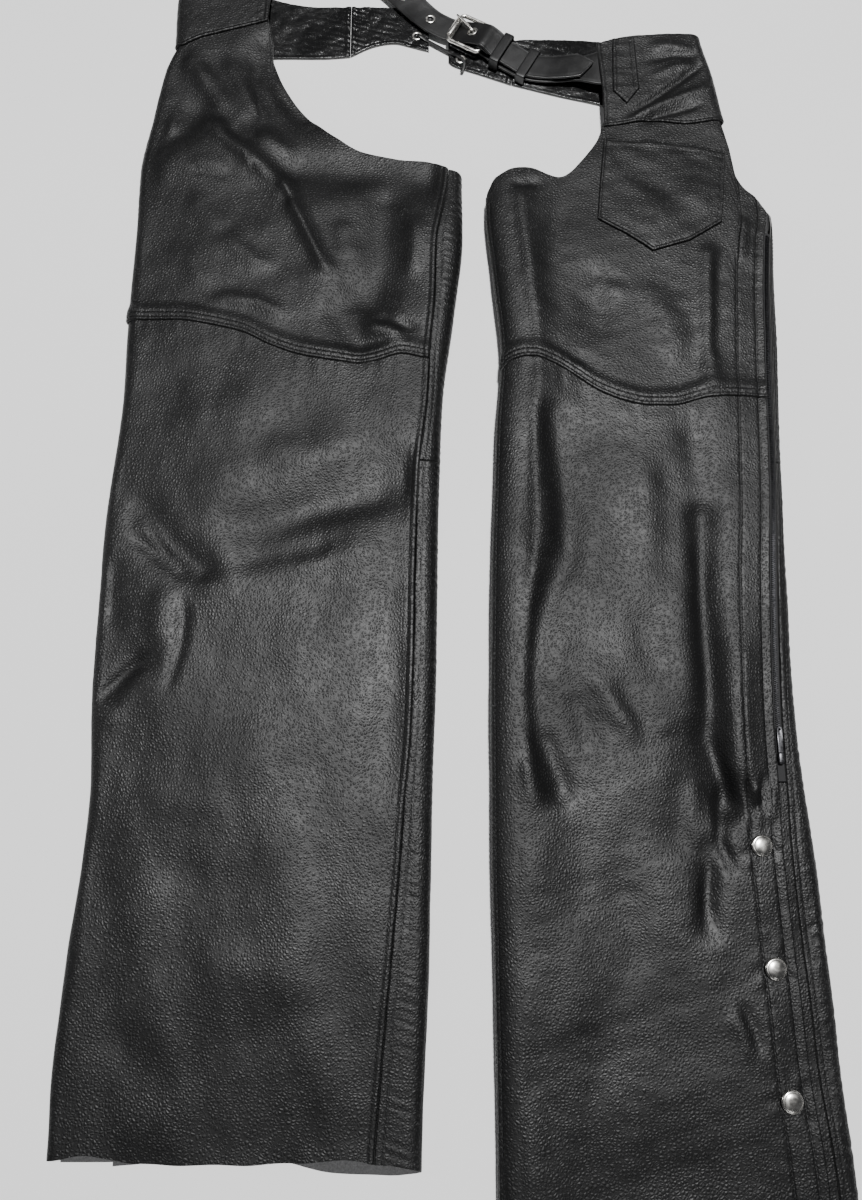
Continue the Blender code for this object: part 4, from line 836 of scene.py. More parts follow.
class Ribbon:
    """A strap's middle face: u runs along it and v across it."""

    def __init__(self, points, banks=None):
        points = np.array(points, float)
        banks = np.zeros(len(points)) if banks is None else np.array(banks, float)
        fine, bank = [], []
        for i in range(len(points) - 1):
            p0, p1, p2 = points[max(0, i - 1)], points[i], points[i + 1]
            p3 = points[min(len(points) - 1, i + 2)]
            for t in np.arange(12) / 12.0:
                fine.append(0.5 * (2 * p1 + (p2 - p0) * t + (2 * p0 - 5 * p1 + 4 * p2 - p3) * t * t
                                   + (3 * p1 - p0 - 3 * p2 + p3) * t ** 3))
                bank.append(lerp(banks[i], banks[i + 1], float(smooth(t))))
        self.fine = np.array(fine + [points[-1]])
        self.bank = np.radians(bank + [banks[-1]])
        self.walk = np.concatenate([[0.0], np.cumsum(np.linalg.norm(np.diff(self.fine, axis=0), axis=1))])
        self.length = float(self.walk[-1])
        sides = []
        for i in range(len(self.fine)):
            way = self.fine[min(len(self.fine) - 1, i + 1)] - self.fine[max(0, i - 1)]
            flat = np.array([-way[1], way[0], 0.0])
            if sides and np.linalg.norm(flat) < 0.4 * np.linalg.norm(way):
                flat = sides[-1]
            flat = flat / np.linalg.norm(flat)
            if sides and flat @ sides[-1] < 0.0:
                flat = -flat
            sides.append(flat)
        self.sides = np.array(sides)

    def read(self, table, u):
        return np.stack([np.interp(u, self.walk, table[:, k]) for k in range(3)], -1)

    def at(self, u, v, off=0.0):
        u, v, off = np.broadcast_arrays(*(np.asarray(w, float) for w in (u, v, off)))
        way = self.read(self.fine, np.minimum(u + 1.0, self.length))
        way = way - self.read(self.fine, np.maximum(u - 1.0, 0.0))
        way /= np.linalg.norm(way, axis=-1, keepdims=True)
        side = self.read(self.sides, u)
        tilt = np.interp(u, self.walk, self.bank)[..., None]
        across = side * np.cos(tilt) + np.cross(way, side) * np.sin(tilt)
        across /= np.linalg.norm(across, axis=-1, keepdims=True)
        return self.read(self.fine, u) + across * v[..., None] + np.cross(way, across) * off[..., None]

    def nearest(self, x, y):
        return float(self.walk[np.argmin(np.hypot(self.fine[:, 0] - x, self.fine[:, 1] - y))])


def surface_normal(surface, u, v):
    step = surface.at(u, v, 1.0) - surface.at(u, v, 0.0)
    return step / np.linalg.norm(step, axis=-1, keepdims=True)


def stitches(name, rows, length=2.9, gap=1.0, radius=0.24, lift=0.10):
    """Thread between its needle holes. rows are (surface, line of (u, y), height on the surface)."""
    ends, sections = [], 5
    for surface, line, off in rows:
        fine = line_points(line, np.linspace(0.0, 1.0, max(8, int(line_length(line) / 0.5))))
        u, y = fine[:, 0], fine[:, 1]
        off = np.broadcast_to(np.asarray(off(u, y) if callable(off) else off, float), u.shape)
        place = surface.at(u, y, off)
        walk = np.concatenate([[0.0], np.cumsum(np.linalg.norm(np.diff(place, axis=0), axis=1))])
        count = max(1, int(walk[-1] / (length + gap)))
        starts = (np.arange(count) + 0.5) * walk[-1] / count - length / 2.0
        marks = starts[:, None] + np.array([0.0, 0.12, 0.5, 0.88, 1.0])[None, :] * length
        path = np.stack([np.interp(marks, walk, place[:, k]) for k in range(3)], -1)
        lifts = np.array([-0.25, 0.35, 1.0, 0.35, -0.25])[None, :, None] * lift
        up = surface_normal(surface, np.interp(marks[:, 2], walk, u), np.interp(marks[:, 2], walk, y))
        up = np.repeat(up[:, None, :], 5, axis=1)
        path = path + up * (lifts + 0.5 * radius)
        way = path[:, 4] - path[:, 0]
        way = np.repeat((way / np.linalg.norm(way, axis=-1, keepdims=True))[:, None, :], 5, axis=1)
        side = np.cross(way, up)
        angle = 2.0 * math.pi * np.arange(sections) / sections
        sizes = np.array([0.35, 0.9, 1.0, 0.9, 0.35])[None, :, None, None] * radius
        ring = (side[:, :, None, :] * np.cos(angle)[None, None, :, None]
                + up[:, :, None, :] * np.sin(angle)[None, None, :, None])
        ends.append(path[:, :, None, :] + ring * sizes)
    points = np.concatenate(ends)
    count = len(points)
    first = np.arange(count)[:, None, None] * 5 * sections
    i, j = np.arange(4)[None, :, None], np.arange(sections)[None, None, :]
    k = (j + 1) % sections
    a = first + i * sections
    faces = np.stack([a + j, a + k, a + sections + k, a + sections + j], axis=-1)
    faces = faces.reshape(-1, 4)[:, ::-1].tolist()
    start = first[:, 0, 0]
    faces += [list(range(f, f + sections)) for f in start]
    faces += [list(range(f + 4 * sections, f + 5 * sections))[::-1] for f in start]
    points = points.reshape(-1, 3)
    points[:, 2] = np.maximum(points[:, 2], 0.0)
    return finish_piece(name, world(points), faces, [THREAD], ())


def inset(line, distance):
    """A line moved to the left of its way by distance."""
    line = np.array(line, float)
    way = np.gradient(line, axis=0)
    way /= np.hypot(way[:, 0], way[:, 1])[:, None]
    return [tuple(v) for v in line + distance * np.stack([-way[:, 1], way[:, 0]], -1)]


def cut_line(line, low, high):
    """The part of a line between two shares of its length."""
    return line_points(line, np.linspace(low, high, 80))


# Camera, light and floor
camera_data = bpy.data.cameras.new("camera")
camera_data.sensor_fit = "VERTICAL"
camera_data.sensor_height = 36.0
camera_data.lens = 27.03
camera = bpy.data.objects.new("camera", camera_data)
camera.location = world([-22.0, -280.0, 680.0]).tolist()
camera.rotation_euler = (math.radians(14.3), 0.0, 0.0)
bpy.context.scene.collection.objects.link(camera)
bpy.context.scene.camera = camera


def area_light(name, place, target, size, power, colour=(1.0, 1.0, 1.0)):
    data = bpy.data.lights.new(name, "AREA")
    data.shape = "RECTANGLE"
    data.size, data.size_y = size
    data.energy = power
    data.color = colour
    light = bpy.data.objects.new(name, data)
    light.location = place
    way = Vector(target) - Vector(place)
    light.rotation_euler = way.to_track_quat("-Z", "Y").to_euler()
    bpy.context.scene.collection.objects.link(light)
    return light


area_light("key", (0.5, 1.2, 5.8), (0.0, 0.0, 0.0), (0.5, 0.5), 555.0)
area_light("soft_top", (-0.2, -0.3, 2.9), (0.0, 0.0, 0.0), (1.6, 1.8), 4.0)
area_light("low_front", (0.3, -2.8, 0.9), (0.0, 0.0, 0.0), (1.6, 0.6), 6.0)
area_light("low_left", (-2.8, 0.3, 1.1), (0.0, 0.0, 0.0), (0.6, 1.6), 9.0)
background = bpy.data.worlds.new("studio")
background.use_nodes = True
background.node_tree.nodes["Background"].inputs["Color"].default_value = (0.92, 0.95, 1.0, 1.0)
background.node_tree.nodes["Background"].inputs["Strength"].default_value = 0.045
bpy.context.scene.world = background

floor_mesh = bpy.data.meshes.new("floor")
floor_mesh.from_pydata([(-4, -4, -0.0004), (4, -4, -0.0004), (4, 4, -0.0004), (-4, 4, -0.0004)],
                       [], [(0, 1, 2, 3)])
floor = bpy.data.objects.new("floor", floor_mesh)
bpy.context.scene.collection.objects.link(floor)
floor_mesh.materials.append(noise_material("floor_paint", (0.86, 0.86, 0.86), (0.90, 0.90, 0.90), 3.0, (0.7, 0.8)))


# Leg panels
ZIP_NEAR = (0.0, 0.35, 0.8, 1.2, 1.7, 2.4, 3.2, 4.8, 6.0, 6.6, 7.1, 7.7, 8.6, 10.5, 13.0, 15.6, 18.2, 20.6, 21.8, 22.5,
            23.0, 23.6, 24.4, 26.0)
SEAM_NEAR = (0.0, 0.35, 0.8, 1.4, 2.1, 2.9, 3.8, 4.5, 5.0, 5.6, 6.4, 8.0, 10.0)
BACK_NEAR = (0.0, 0.35, 0.9, 1.8, 3.0, 3.9, 4.5, 5.1, 6.0, 7.4, 9.0, 10.8, 12.8, 15.0, 17.4, 20.0, 23.0, 26.5)
KNEE_ROWS = (2.7, 3.2, 3.8, 5.0, 6.2, 7.0, 7.6, 8.4, 9.8, 11.4, 13.2, 15.2, 17.4, 19.6)
SNAP_Y = (-291.0, -373.0, -456.0)
SNAP_INSET = 16.0
ZIP_STITCH = 7.1
FACING_STITCH = 23.0
FACING_STEP = 0.5
SEAM_STITCH = 5.0
KNEE_STITCHES = (3.2, 7.3)
BAND_LIFT = LEATHER + 0.5
BAND_SLOPE = 11.0


def band_rise(knee, u, y):
    return BAND_LIFT * smooth((knee.read(u, "y") + LAP + BAND_SLOPE - y) / BAND_SLOPE)


def zip_facing(d, y, seed):
    """Turned edge, stitch line and inner facing beside the zip."""
    off = rounded(d) + groove(d, ZIP_STITCH, 0.60, 0.8) + groove(d, FACING_STITCH, 0.80, 0.8)
    off = off + 0.50 * bell(d, 2.3, 1.4) + FACING_STEP * smooth((FACING_STITCH + 1.0 - d) / 1.6)
    off = off + 0.30 * bell(d, 1.2, 0.5)
    off = off + 0.14 * ripple(y, seed, 6.0) * bell(d, ZIP_STITCH, 4.0)
    return off + 0.18 * ripple(y, seed + 1, 8.0) * bell(d, FACING_STITCH, 5.0)


def snap_pull(u, y, side):
    """Leather drawn in round each snap, with short wrinkles that point at it."""
    total = np.zeros(u.shape)
    for k, (place_u, place_y) in enumerate(snap_places(side)):
        away = np.hypot(u - place_u, y - place_y)
        angle = np.arctan2(y - place_y, u - place_u)
        spokes = np.sin(5.0 * angle + k) + np.sin(8.0 * angle + 2.0 * k + 1.0)
        total += -0.4 * bell(away, 9.2, 1.8) + 0.32 * spokes * bell(away, 13.5, 5.0)
    return total


def seam_welt(d, y, seed):
    """Raised edge along the inseam."""
    return (rounded(d, 0.8) + 0.55 * bell(d, 2.1, 1.5) + groove(d, SEAM_STITCH, 0.22, 0.9)
            + 0.06 * ripple(y, seed, 7.0) * bell(d, 4.0, 5.0))


def snap_places(side):
    """Where a leg's snaps are set: (u, y)."""
    edge, sign = (right_zip_edge, -1) if side == "right" else (left_zip_edge, 1)
    return [(float(edge(y)) - sign * SNAP_INSET, y) for y in SNAP_Y]


def shin_front(side, leg, knee, low_side, high_side, hem, zip_name, rests_on):
    seam = "high" if zip_name == "low" else "low"

    def profile(u, y, edges):
        below = smooth(edges["top"] / 14.0)
        relief = zip_facing(edges[zip_name], y, 31) + seam_welt(edges[seam], y, 37)
        relief = relief * lerp(0.3, 1.0, below)
        pleat = ripple(u, 41, 11.0) * 0.18 * bell(edges["top"], 12.0, 9.0)
        curl = 0.25 * ripple(u, 43, 60.0) * smooth(1.0 - edges["bottom"] / 14.0)
        return np.zeros(u.shape), relief + pleat + curl + snap_pull(u, y, side)

    us = np.linspace(float(low_side(-500.0)), float(high_side(-500.0)), 60)
    bottom = [(u, float(hem(u))) for u in us]
    us = np.linspace(float(low_side(90.0)), float(high_side(90.0)), 80)
    top = [(u, float(knee.read(u, "y")) + LAP) for u in us]
    near = {"low": ZIP_NEAR if zip_name == "low" else SEAM_NEAR,
            "high": ZIP_NEAR if zip_name == "high" else SEAM_NEAR}
    return panel(side + "_shin_front_skin", leg, low_side, high_side, bottom, top, profile,
                 side + "_shin_front", rests_on, near_low=near["low"], near_high=near["high"])


def thigh_front(side, leg, knee, low_side, high_side, upper, zip_name, rests_on):
    seam = "high" if zip_name == "low" else "low"

    def profile(u, y, edges):
        d = edges["bottom"]
        relief = rounded(d, 1.0) + groove(d, KNEE_STITCHES[0], 0.42, 0.7) + groove(d, KNEE_STITCHES[1], 0.42, 0.7)
        relief = relief + 0.16 * ripple(u, 47, 5.5) * bell(d, 8.0, 5.5) + 0.12 * bell(d, 5.2, 1.6)
        relief = relief + zip_facing(edges[zip_name], y, 53) + seam_welt(edges[seam], y, 59)
        return band_rise(knee, u, y), relief + rounded(edges["top"], 0.5)

    us = np.linspace(float(low_side(90.0)), float(high_side(90.0)), 80)
    bottom = [(u, float(knee.read(u, "y"))) for u in us]
    near = {"low": ZIP_NEAR if zip_name == "low" else SEAM_NEAR,
            "high": ZIP_NEAR if zip_name == "high" else SEAM_NEAR}
    return panel(side + "_thigh_front_skin", leg, low_side, high_side, bottom, upper, profile,
                 side + "_thigh_front", rests_on, near_low=near["low"], near_high=near["high"],
                 first_rows=KNEE_ROWS)


def back_panel(name, leg, low_side, high_side, bottom, top, zip_name):
    seam = "high" if zip_name == "low" else "low"

    def profile(u, y, edges):
        d, z = edges[seam], edges[zip_name]
        relief = rounded(d, 0.7) + rounded(z) + rounded(edges["bottom"], 0.5) + rounded(edges["top"], 0.5)
        relief = relief + groove(d, SEAM_STITCH - 0.5, 0.3, 0.8) + groove(z, SEAM_STITCH - 0.5, 0.3, 0.8)
        fold = smooth((d - 5.0) / 3.0) * smooth((30.0 - d) / 12.0)
        relief = relief + 0.17 * ripple(y + 0.35 * d, 61, 5.0) * fold
        relief = relief + 0.15 * ripple(y - 0.5 * z, 67, 8.0) * smooth((z - 5.0) / 3.0) * smooth((40.0 - z) / 14.0)
        return np.zeros(u.shape), relief

    return panel(name + "_skin", leg, low_side, high_side, bottom, top, profile, name, ["floor"], step=6.0,
                 row_step=1.7, near_low=BACK_NEAR, near_high=BACK_NEAR)


def curve_line(points, steps=6):
    """A smooth line through given points."""
    points = np.array(points, float)
    out = []
    for i in range(len(points) - 1):
        p0, p1, p2 = points[max(0, i - 1)], points[i], points[i + 1]
        p3 = points[min(len(points) - 1, i + 2)]
        for k in range(steps):
            t = k / steps
            out.append(0.5 * (2 * p1 + (p2 - p0) * t + (2 * p0 - 5 * p1 + 4 * p2 - p3) * t * t
                              + (3 * p1 - p0 - 3 * p2 + p3) * t ** 3))
    out.append(points[-1])
    return [tuple(p) for p in out]


RIGHT_SEAM_LINE = curve_line([(-171, 437), (-200, 428), (-227, 418), (-246, 408)])
LEFT_SEAM_LINE = curve_line([(131, 322), (150, 325), (170, 328), (190, 326), (207, 325), (233, 329)])

right_upper = curve_line(RIGHT_SCOOP[:-1]) + [(u, y + LAP) for u, y in RIGHT_SEAM_LINE]
right_upper += curve_line([(-246, 416), (-262, 388), (-270, 349), (-281, 310), (-292, 275),
                           (float(right_zip_edge(245.0)), 245.0)])[1:]
left_upper = curve_line(LEFT_SCOOP[::-1][:-1]) + [(u, y + LAP) for u, y in LEFT_SEAM_LINE]
left_upper = [(float(left_inseam(252.0)), 248.0)] + left_upper
left_upper += curve_line([(233, 337), (236, 320), (238, 299), (241, 270), (247, 257), (258, 247),
                          (float(left_zip_edge(232.0)), 232.0)])[1:]


def right_seam_half(y):
    """Half the seam's gap, pulled shut at the crotch."""
    return SEAM / 2.0 * (1.0 - 0.8 * smooth((y - 238.0) / 14.0))


def right_inseam_front(y):
    return right_inseam(y) - right_seam_half(y)


def right_inseam_back(y):
    return right_inseam(y) + right_seam_half(y)


def left_inseam_front(y):
    return left_inseam(y) + SEAM / 2.0


def left_back_end(y):
    return left_inseam_back(y) - SEAM / 2.0


def level(low_side, high_side, y):
    return [(float(low_side(y)), y), (float(high_side(y)), y)]


def back_hem(low_side, high_side, y, hem):
    us = np.linspace(float(low_side(y)), float(high_side(y)), 50)
    return [(u, float(hem(u))) for u in us]


start_u, end_u = float(right_inseam_back(275.0)), float(right_zip_back(242.0))
right_top = []
for u in np.linspace(start_u, end_u, 60):
    share = (end_u - u) / (end_u - start_u)
    right_top.append((u, 242.0 + 33.0 * float(smooth((share - 0.72) / 0.28))))
back_panel("right_thigh_back", RIGHT, right_inseam_back, right_zip_back,
           level(right_inseam_back, right_zip_back, JOIN_Y + SEAM), right_top, "high")
back_panel("right_shin_back", RIGHT, right_inseam_back, right_zip_back,
           back_hem(right_inseam_back, right_zip_back, -500.0, right_back_hem),
           level(right_inseam_back, right_zip_back, JOIN_Y), "high")
start_u, end_u = float(left_zip_back(236.0)), float(left_back_end(250.0))
left_top = [(start_u, 222.0), (start_u + 3.0, 234.0), (start_u + 7.0, 243.0), (end_u, 250.0)]
back_panel("left_thigh_back", LEFT, left_zip_back, left_back_end,
           level(left_zip_back, left_back_end, JOIN_Y + SEAM), left_top, "low")
back_panel("left_shin_back", LEFT, left_zip_back, left_back_end,
           back_hem(left_zip_back, left_back_end, -505.0, left_back_hem),
           level(left_zip_back, left_back_end, JOIN_Y), "low")

thigh_front("right", RIGHT, RIGHT_KNEE, right_zip_edge, right_inseam_front, right_upper, "low",
            ["right_thigh_back_skin"])
shin_front("right", RIGHT, RIGHT_KNEE, right_zip_edge, right_inseam_front, right_hem, "low",
           ["right_shin_back_skin"])
thigh_front("left", LEFT, LEFT_KNEE, left_inseam_front, left_zip_edge, left_upper, "high",
            ["left_thigh_back_skin"])
shin_front("left", LEFT, LEFT_KNEE, left_inseam_front, left_zip_edge, left_hem, "high",
           ["left_shin_back_skin"])

# Hip yokes, tab and pocket
OVER = LEATHER + GAP
YOKE_TURN = 6.0
STITCH_IN = 2.6


def right_rise(u, y):
    walked = (RIGHT.fold_start(y, -1) - u) / RIGHT.fold_arc(y, -1)
    return OVER * (1.0 - smooth(walked / 0.9))


def left_rise(u, y):
    walked = (u - LEFT.fold_start(y, 1)) / LEFT.fold_arc(y, 1)
    return OVER * (1.0 - smooth(walked / 0.9))


def right_under(y):
    return float(RIGHT.fold_start(y, -1) - RIGHT.fold_arc(y, -1)) - YOKE_TURN


def left_under(y):
    return float(LEFT.fold_start(y, 1) + LEFT.fold_arc(y, 1)) + YOKE_TURN


def yoke_profile(front):
    """Rolled front edge with its facing, and the turned edge above the seam."""
    def profile(u, y, edges):
        d, z = edges["bottom"], edges[front]
        relief = rounded(edges["all"], 1.0) + groove(d, STITCH_IN, 0.3, 0.6) + 0.2 * bell(d, 1.3, 0.9)
        relief = relief + 0.35 * bell(z, 1.8, 1.3) + groove(z, 4.0, 0.3, 0.7) + groove(z, 10.5, 0.35, 0.8)
        relief = relief + 0.20 * ripple(y + 0.6 * z, 71, 6.5) * bell(z, 7.5, 3.0)
        return relief + 0.10 * waves(u, y, 73, 1.0, 11.0)
    return profile


YOKE_EDGE = (0.0, 0.35, 0.9, 1.8, 2.6, 3.4, 4.2, 5.2)
right_front = [(-171, 437), (-169, 480), (-168, 524)]
right_side = [(right_under(y), y) for y in np.linspace(408.0, 500.0, 20)]
right_low = [right_side[0]] + RIGHT_SEAM_LINE[::-1]
right_high = [right_side[-1]] + curve_line([(-246, 500), (-210, 512), (-168, 524)])
patch("right_front_yoke_skin", RIGHT, (right_side, right_front, right_low, right_high), right_rise,
      yoke_profile("right"), "right_front_yoke", ["right_thigh_front_skin"], near=YOKE_EDGE)
left_front = [(131, 322), (131, 360), (128, 411)]
left_side = [(left_under(y), y) for y in np.linspace(331.0, 419.0, 20)]
left_low = LEFT_SEAM_LINE + [left_side[0]]
left_high = curve_line([(128, 411), (150, 417), (190, 421), (214, 421), (left_under(419.0), 419.0)])
patch("left_front_yoke_skin", LEFT, (left_front, left_side, left_low, left_high), left_rise,
      yoke_profile("left"), "left_front_yoke", ["left_thigh_front_skin"], near=YOKE_EDGE)


def tab_profile(u, y, edges):
    side = np.minimum(edges["left"], edges["right"])
    relief = rounded(edges["all"], 1.2) + groove(side, 4.2, 0.4, 0.9) + 0.25 * bell(side, 2.0, 1.4)
    return relief + 0.12 * ripple(y, 79, 9.0) + 0.2 * bell(y, 380.0, 1.2) - 0.25 * bell(y, 383.0, 1.5)


tab_left, tab_right = [(140, 358), (142, 414)], [(164, 361), (162, 416)]
patch("left_belt_tab_skin", LEFT, (tab_left, tab_right, [(140, 358), (152, 345), (164, 361)],
                                   [(142, 414), (162, 416)]), OVER * 2.0 + 0.1, tab_profile,
      "left_belt_tab", ["left_front_yoke_skin"], step=1.3, corner=(152, 345))

POCKET_BASE = OVER + 0.2
pocket_left, pocket_right = [(120, 225), (124, 262), (130, 309)], [(226, 222), (231, 258), (236, 296)]
pocket_low = [(120, 225), (143, 210), (165, 193), (197, 203), (226, 222)]
pocket_high = curve_line([(130, 309), (178, 306), (204, 303), (236, 296)])


def pocket_profile(u, y, edges):
    side = np.minimum(np.minimum(edges["left"], edges["right"]), edges["bottom"])
    relief = rounded(edges["all"], 1.0) + 0.25 * bell(side, 1.5, 1.0) + groove(side, STITCH_IN + 0.4, 0.35, 0.7)
    relief = relief + groove(edges["top"], 2.4, 0.3, 0.7) + groove(edges["top"], 9.0, 0.4, 0.8)
    relief = relief + 0.18 * bell(edges["top"], 4.5, 2.0)
    inside = smooth((edges["all"] - 6.0) / 10.0)
    relief = relief + 0.45 * waves(u, y * 0.7, 83, 1.0, 34.0) * inside
    return relief + 0.14 * ripple(u + y, 89, 7.0) * bell(side, 4.0, 3.0)


patch("left_pocket_skin", LEFT, (pocket_left, pocket_right, pocket_low, pocket_high), POCKET_BASE,
      pocket_profile, "left_pocket", ["left_thigh_front_skin"], corner=(165, 193), near=YOKE_EDGE)

# Back of the waist
FLOOR_R, FLOOR_L = Floor(97), Floor(101)
BAND_LEATHER = [TRIM, SUEDE, CUT]
EYELET_PLACES = [(-37, 451), (-35, 431), (8, 426), (5, 405)]
EYELET_HOLE = 2.9


def under_start(y):
    return float(RIGHT.fold_start(y, -1)) + YOKE_TURN + SEAM


def under_end(y):
    return float(LEFT.fold_start(y, 1)) - YOKE_TURN - SEAM


def band_profile(low_stitch, join, holes):
    """Stitched lower edge, wrinkles that run into the vertical join, dents at the eyelets."""
    def profile(u, y, edges):
        d, z = edges["bottom"], edges[join]
        relief = rounded(edges["all"], 0.7) + groove(d, low_stitch, 0.25, 0.7)
        relief = relief + 0.5 * bell(z, 2.4, 1.6) + groove(z, 5.0, 0.3, 0.8)
        relief = relief + 0.5 * np.abs(ripple(y + 0.3 * u, 103, 9.0)) * np.exp(-z / 14.0) * smooth(d / 3.0)
        for hx, hy in holes:
            away = np.hypot(u - hx, y - hy)
            relief = relief * smooth((away - 3.5) / 4.0) - 1.1 * smooth((EYELET_HOLE - away) / 0.6)
        return relief
    return profile


right_yoke_low = curve_line([(under_start(410.0), 410), (-200, 404), (-165, 406), (-120, 406), (-96.4, 408)])
right_yoke_high = curve_line([(under_start(498.0), 498), (-200, 484), (-144, 466), (-96.4, 464)])
patch("right_back_yoke_skin", FLOOR_R,
      ([(under_start(410.0), 410), (under_start(498.0), 498)], [(-96.4, 408), (-96.4, 464)],
       right_yoke_low, right_yoke_high), LEATHER, band_profile(3.0, "right", ()), "right_back_yoke",
      ["floor"], step=1.8, materials=BAND_LEATHER)
right_band_low = curve_line([(-96, 408), (-76, 419), (-56, 423), (-40, 419), (-24, 414)])
right_band_high = curve_line([(-96, 464), (-70, 464), (-45, 462), (-24, 455)])
patch("right_back_band_skin", FLOOR_R, ([(-96, 408), (-96, 464)], [(-24, 414), (-24, 455)],
                                        right_band_low, right_band_high), LEATHER,
      band_profile(3.0, "left", EYELET_PLACES[:2]), "right_back_band", ["floor"], step=0.9,
      materials=BAND_LEATHER)
left_band_low = curve_line([(-6, 402), (0, 397), (23, 388), (51, 377)])
left_band_high = curve_line([(-6, 446), (20, 436), (51, 426)])
patch("left_back_band_skin", FLOOR_L, ([(-6, 402), (-6, 446)], [(51, 377), (51, 426)],
                                       left_band_low, left_band_high), LEATHER,
      band_profile(3.0, "right", EYELET_PLACES[2:]), "left_back_band", ["floor"], step=0.9,
      materials=BAND_LEATHER)
left_yoke_low = curve_line([(51.4, 377), (95, 364), (130, 355), (170, 342), (under_end(333.0), 333)])
left_yoke_high = curve_line([(51.4, 426), (79, 427), (115, 426), (160, 422), (under_end(417.0), 417)])
patch("left_back_yoke_skin", FLOOR_L,
      ([(51.4, 377), (51.4, 426)], [(under_end(333.0), 333), (under_end(417.0), 417)],
       left_yoke_low, left_yoke_high), LEATHER, band_profile(3.0, "left", ()), "left_back_yoke",
      ["floor"], step=1.8, materials=BAND_LEATHER)

# Zips, snap plackets and snaps
ZIP_SIDES = (("right", RIGHT, right_zip_edge, -1), ("left", LEFT, left_zip_edge, 1))
STRIP_REACH = 28.0
STRIP_LAP = 3.0
PLACKET_END = {"right": -494.0, "left": -528.0}
SNAP_PROFILE = [(0.3, 3.02), (1.2, 3.0), (2.4, 2.92), (3.6, 2.76), (4.7, 2.5), (5.5, 2.2), (6.0, 1.98),
                (6.25, 1.78), (6.5, 1.74), (6.8, 1.66), (7.2, 1.3), (7.5, 0.95), (SNAP_RADIUS, 0.6),
                (7.62, 0.25), (7.3, 0.0), (5.0, -0.3), (0.3, -0.3)]


def zip_piece(name, leg, first, last, low, high, wall, materials, node, step):
    rows = max(4, round((high - low) / step))
    y = np.linspace(low, high, rows)[:, None] + np.zeros((1, 13))
    u = lerp(first(y), last(y), np.linspace(0.0, 1.0, 13)[None, :])
    off = -(LEATHER + UNDER_GAP) + 0.05 * ripple(y, 107, 12.0)
    thing = slab(name, leg.at(u, y, off), leg.at(u, y, off - wall), materials, [node])
    lay_sheet(u, y, [node.split("_")[0] + "_thigh_back_skin"])
    return thing


def row_of_teeth(name, leg, centre, low, high):
    """Two rows of interlocked teeth, one block each."""
    y = np.arange(low, high, 0.8)
    hand = np.where(np.arange(len(y)) % 2 == 0, -1.0, 1.0)
    u = centre(y)
    at = leg.at(u, y, -LEATHER - 0.25)
    up = surface_normal(leg, u, y)
    along = leg.at(centre(y + 1.0), y + 1.0, -LEATHER - 0.25) - at
    along /= np.linalg.norm(along, axis=-1, keepdims=True)
    side = np.cross(along, up)
    corners = []
    for z, long, wide in ((-0.8, 0.30, 1.1), (0.35, 0.30, 1.1), (0.75, 0.18, 0.8)):
        for a, b in ((-1, -1), (1, -1), (1, 1), (-1, 1)):
            corners.append(at + along * (a * long) + side * ((b * wide) + 0.55 * hand)[:, None]
                           + up * z)
    points = np.stack(corners, 1)
    start = np.arange(len(y))[:, None] * 12
    quads = [(3, 2, 1, 0), (8, 9, 10, 11)]
    for r in (0, 4):
        quads += [(r + k, r + (k + 1) % 4, r + 4 + (k + 1) % 4, r + 4 + k) for k in range(4)]
    faces = (start[:, :, None] + np.array(quads)[None]).reshape(-1, 4).tolist()
    thing = finish_piece(name, world(points.reshape(-1, 3)), faces, [TEETH], (), angle=30.0)
    return outward(thing)


def lathe(name, profile, place, up, material, replaces, sides=40, closed=False):
    """A turned solid or ring round the axis up at place."""
    up = np.asarray(up, float) / np.linalg.norm(up)
    a = np.cross(up, [0.0, 1.0, 0.2])
    a /= np.linalg.norm(a)
    b = np.cross(up, a)
    angle = 2.0 * math.pi * np.arange(sides) / sides
    ring = a * np.cos(angle)[:, None] + b * np.sin(angle)[:, None]
    grid = np.stack([place + up * height + ring * radius for radius, height in profile])
    return wrapped(name, grid, material, replaces, closed)


def superellipse(count, power=0.55):
    angle = 2.0 * math.pi * np.arange(count) / count
    c, s = np.cos(angle), np.sin(angle)
    return np.sign(c) * np.abs(c) ** power, np.sign(s) * np.abs(s) ** power


# Slider: distance along the zip, half width, lowest and highest point
SLIDER_Y = ZIP_END_Y + 12.0
SLIDER_ROWS = [(0.0, 1.2, -1.2, 0.8), (0.4, 1.8, -1.6, 1.2), (2.0, 2.1, -1.7, 1.5), (5.0, 2.2, -1.7, 1.6),
               (7.6, 2.1, -1.7, 1.5), (8.6, 1.8, -1.6, 1.2), (9.0, 1.2, -1.2, 0.8)]
PULL_START, PULL_LENGTH, PULL_HALF = 7.5, 20.0, 1.9


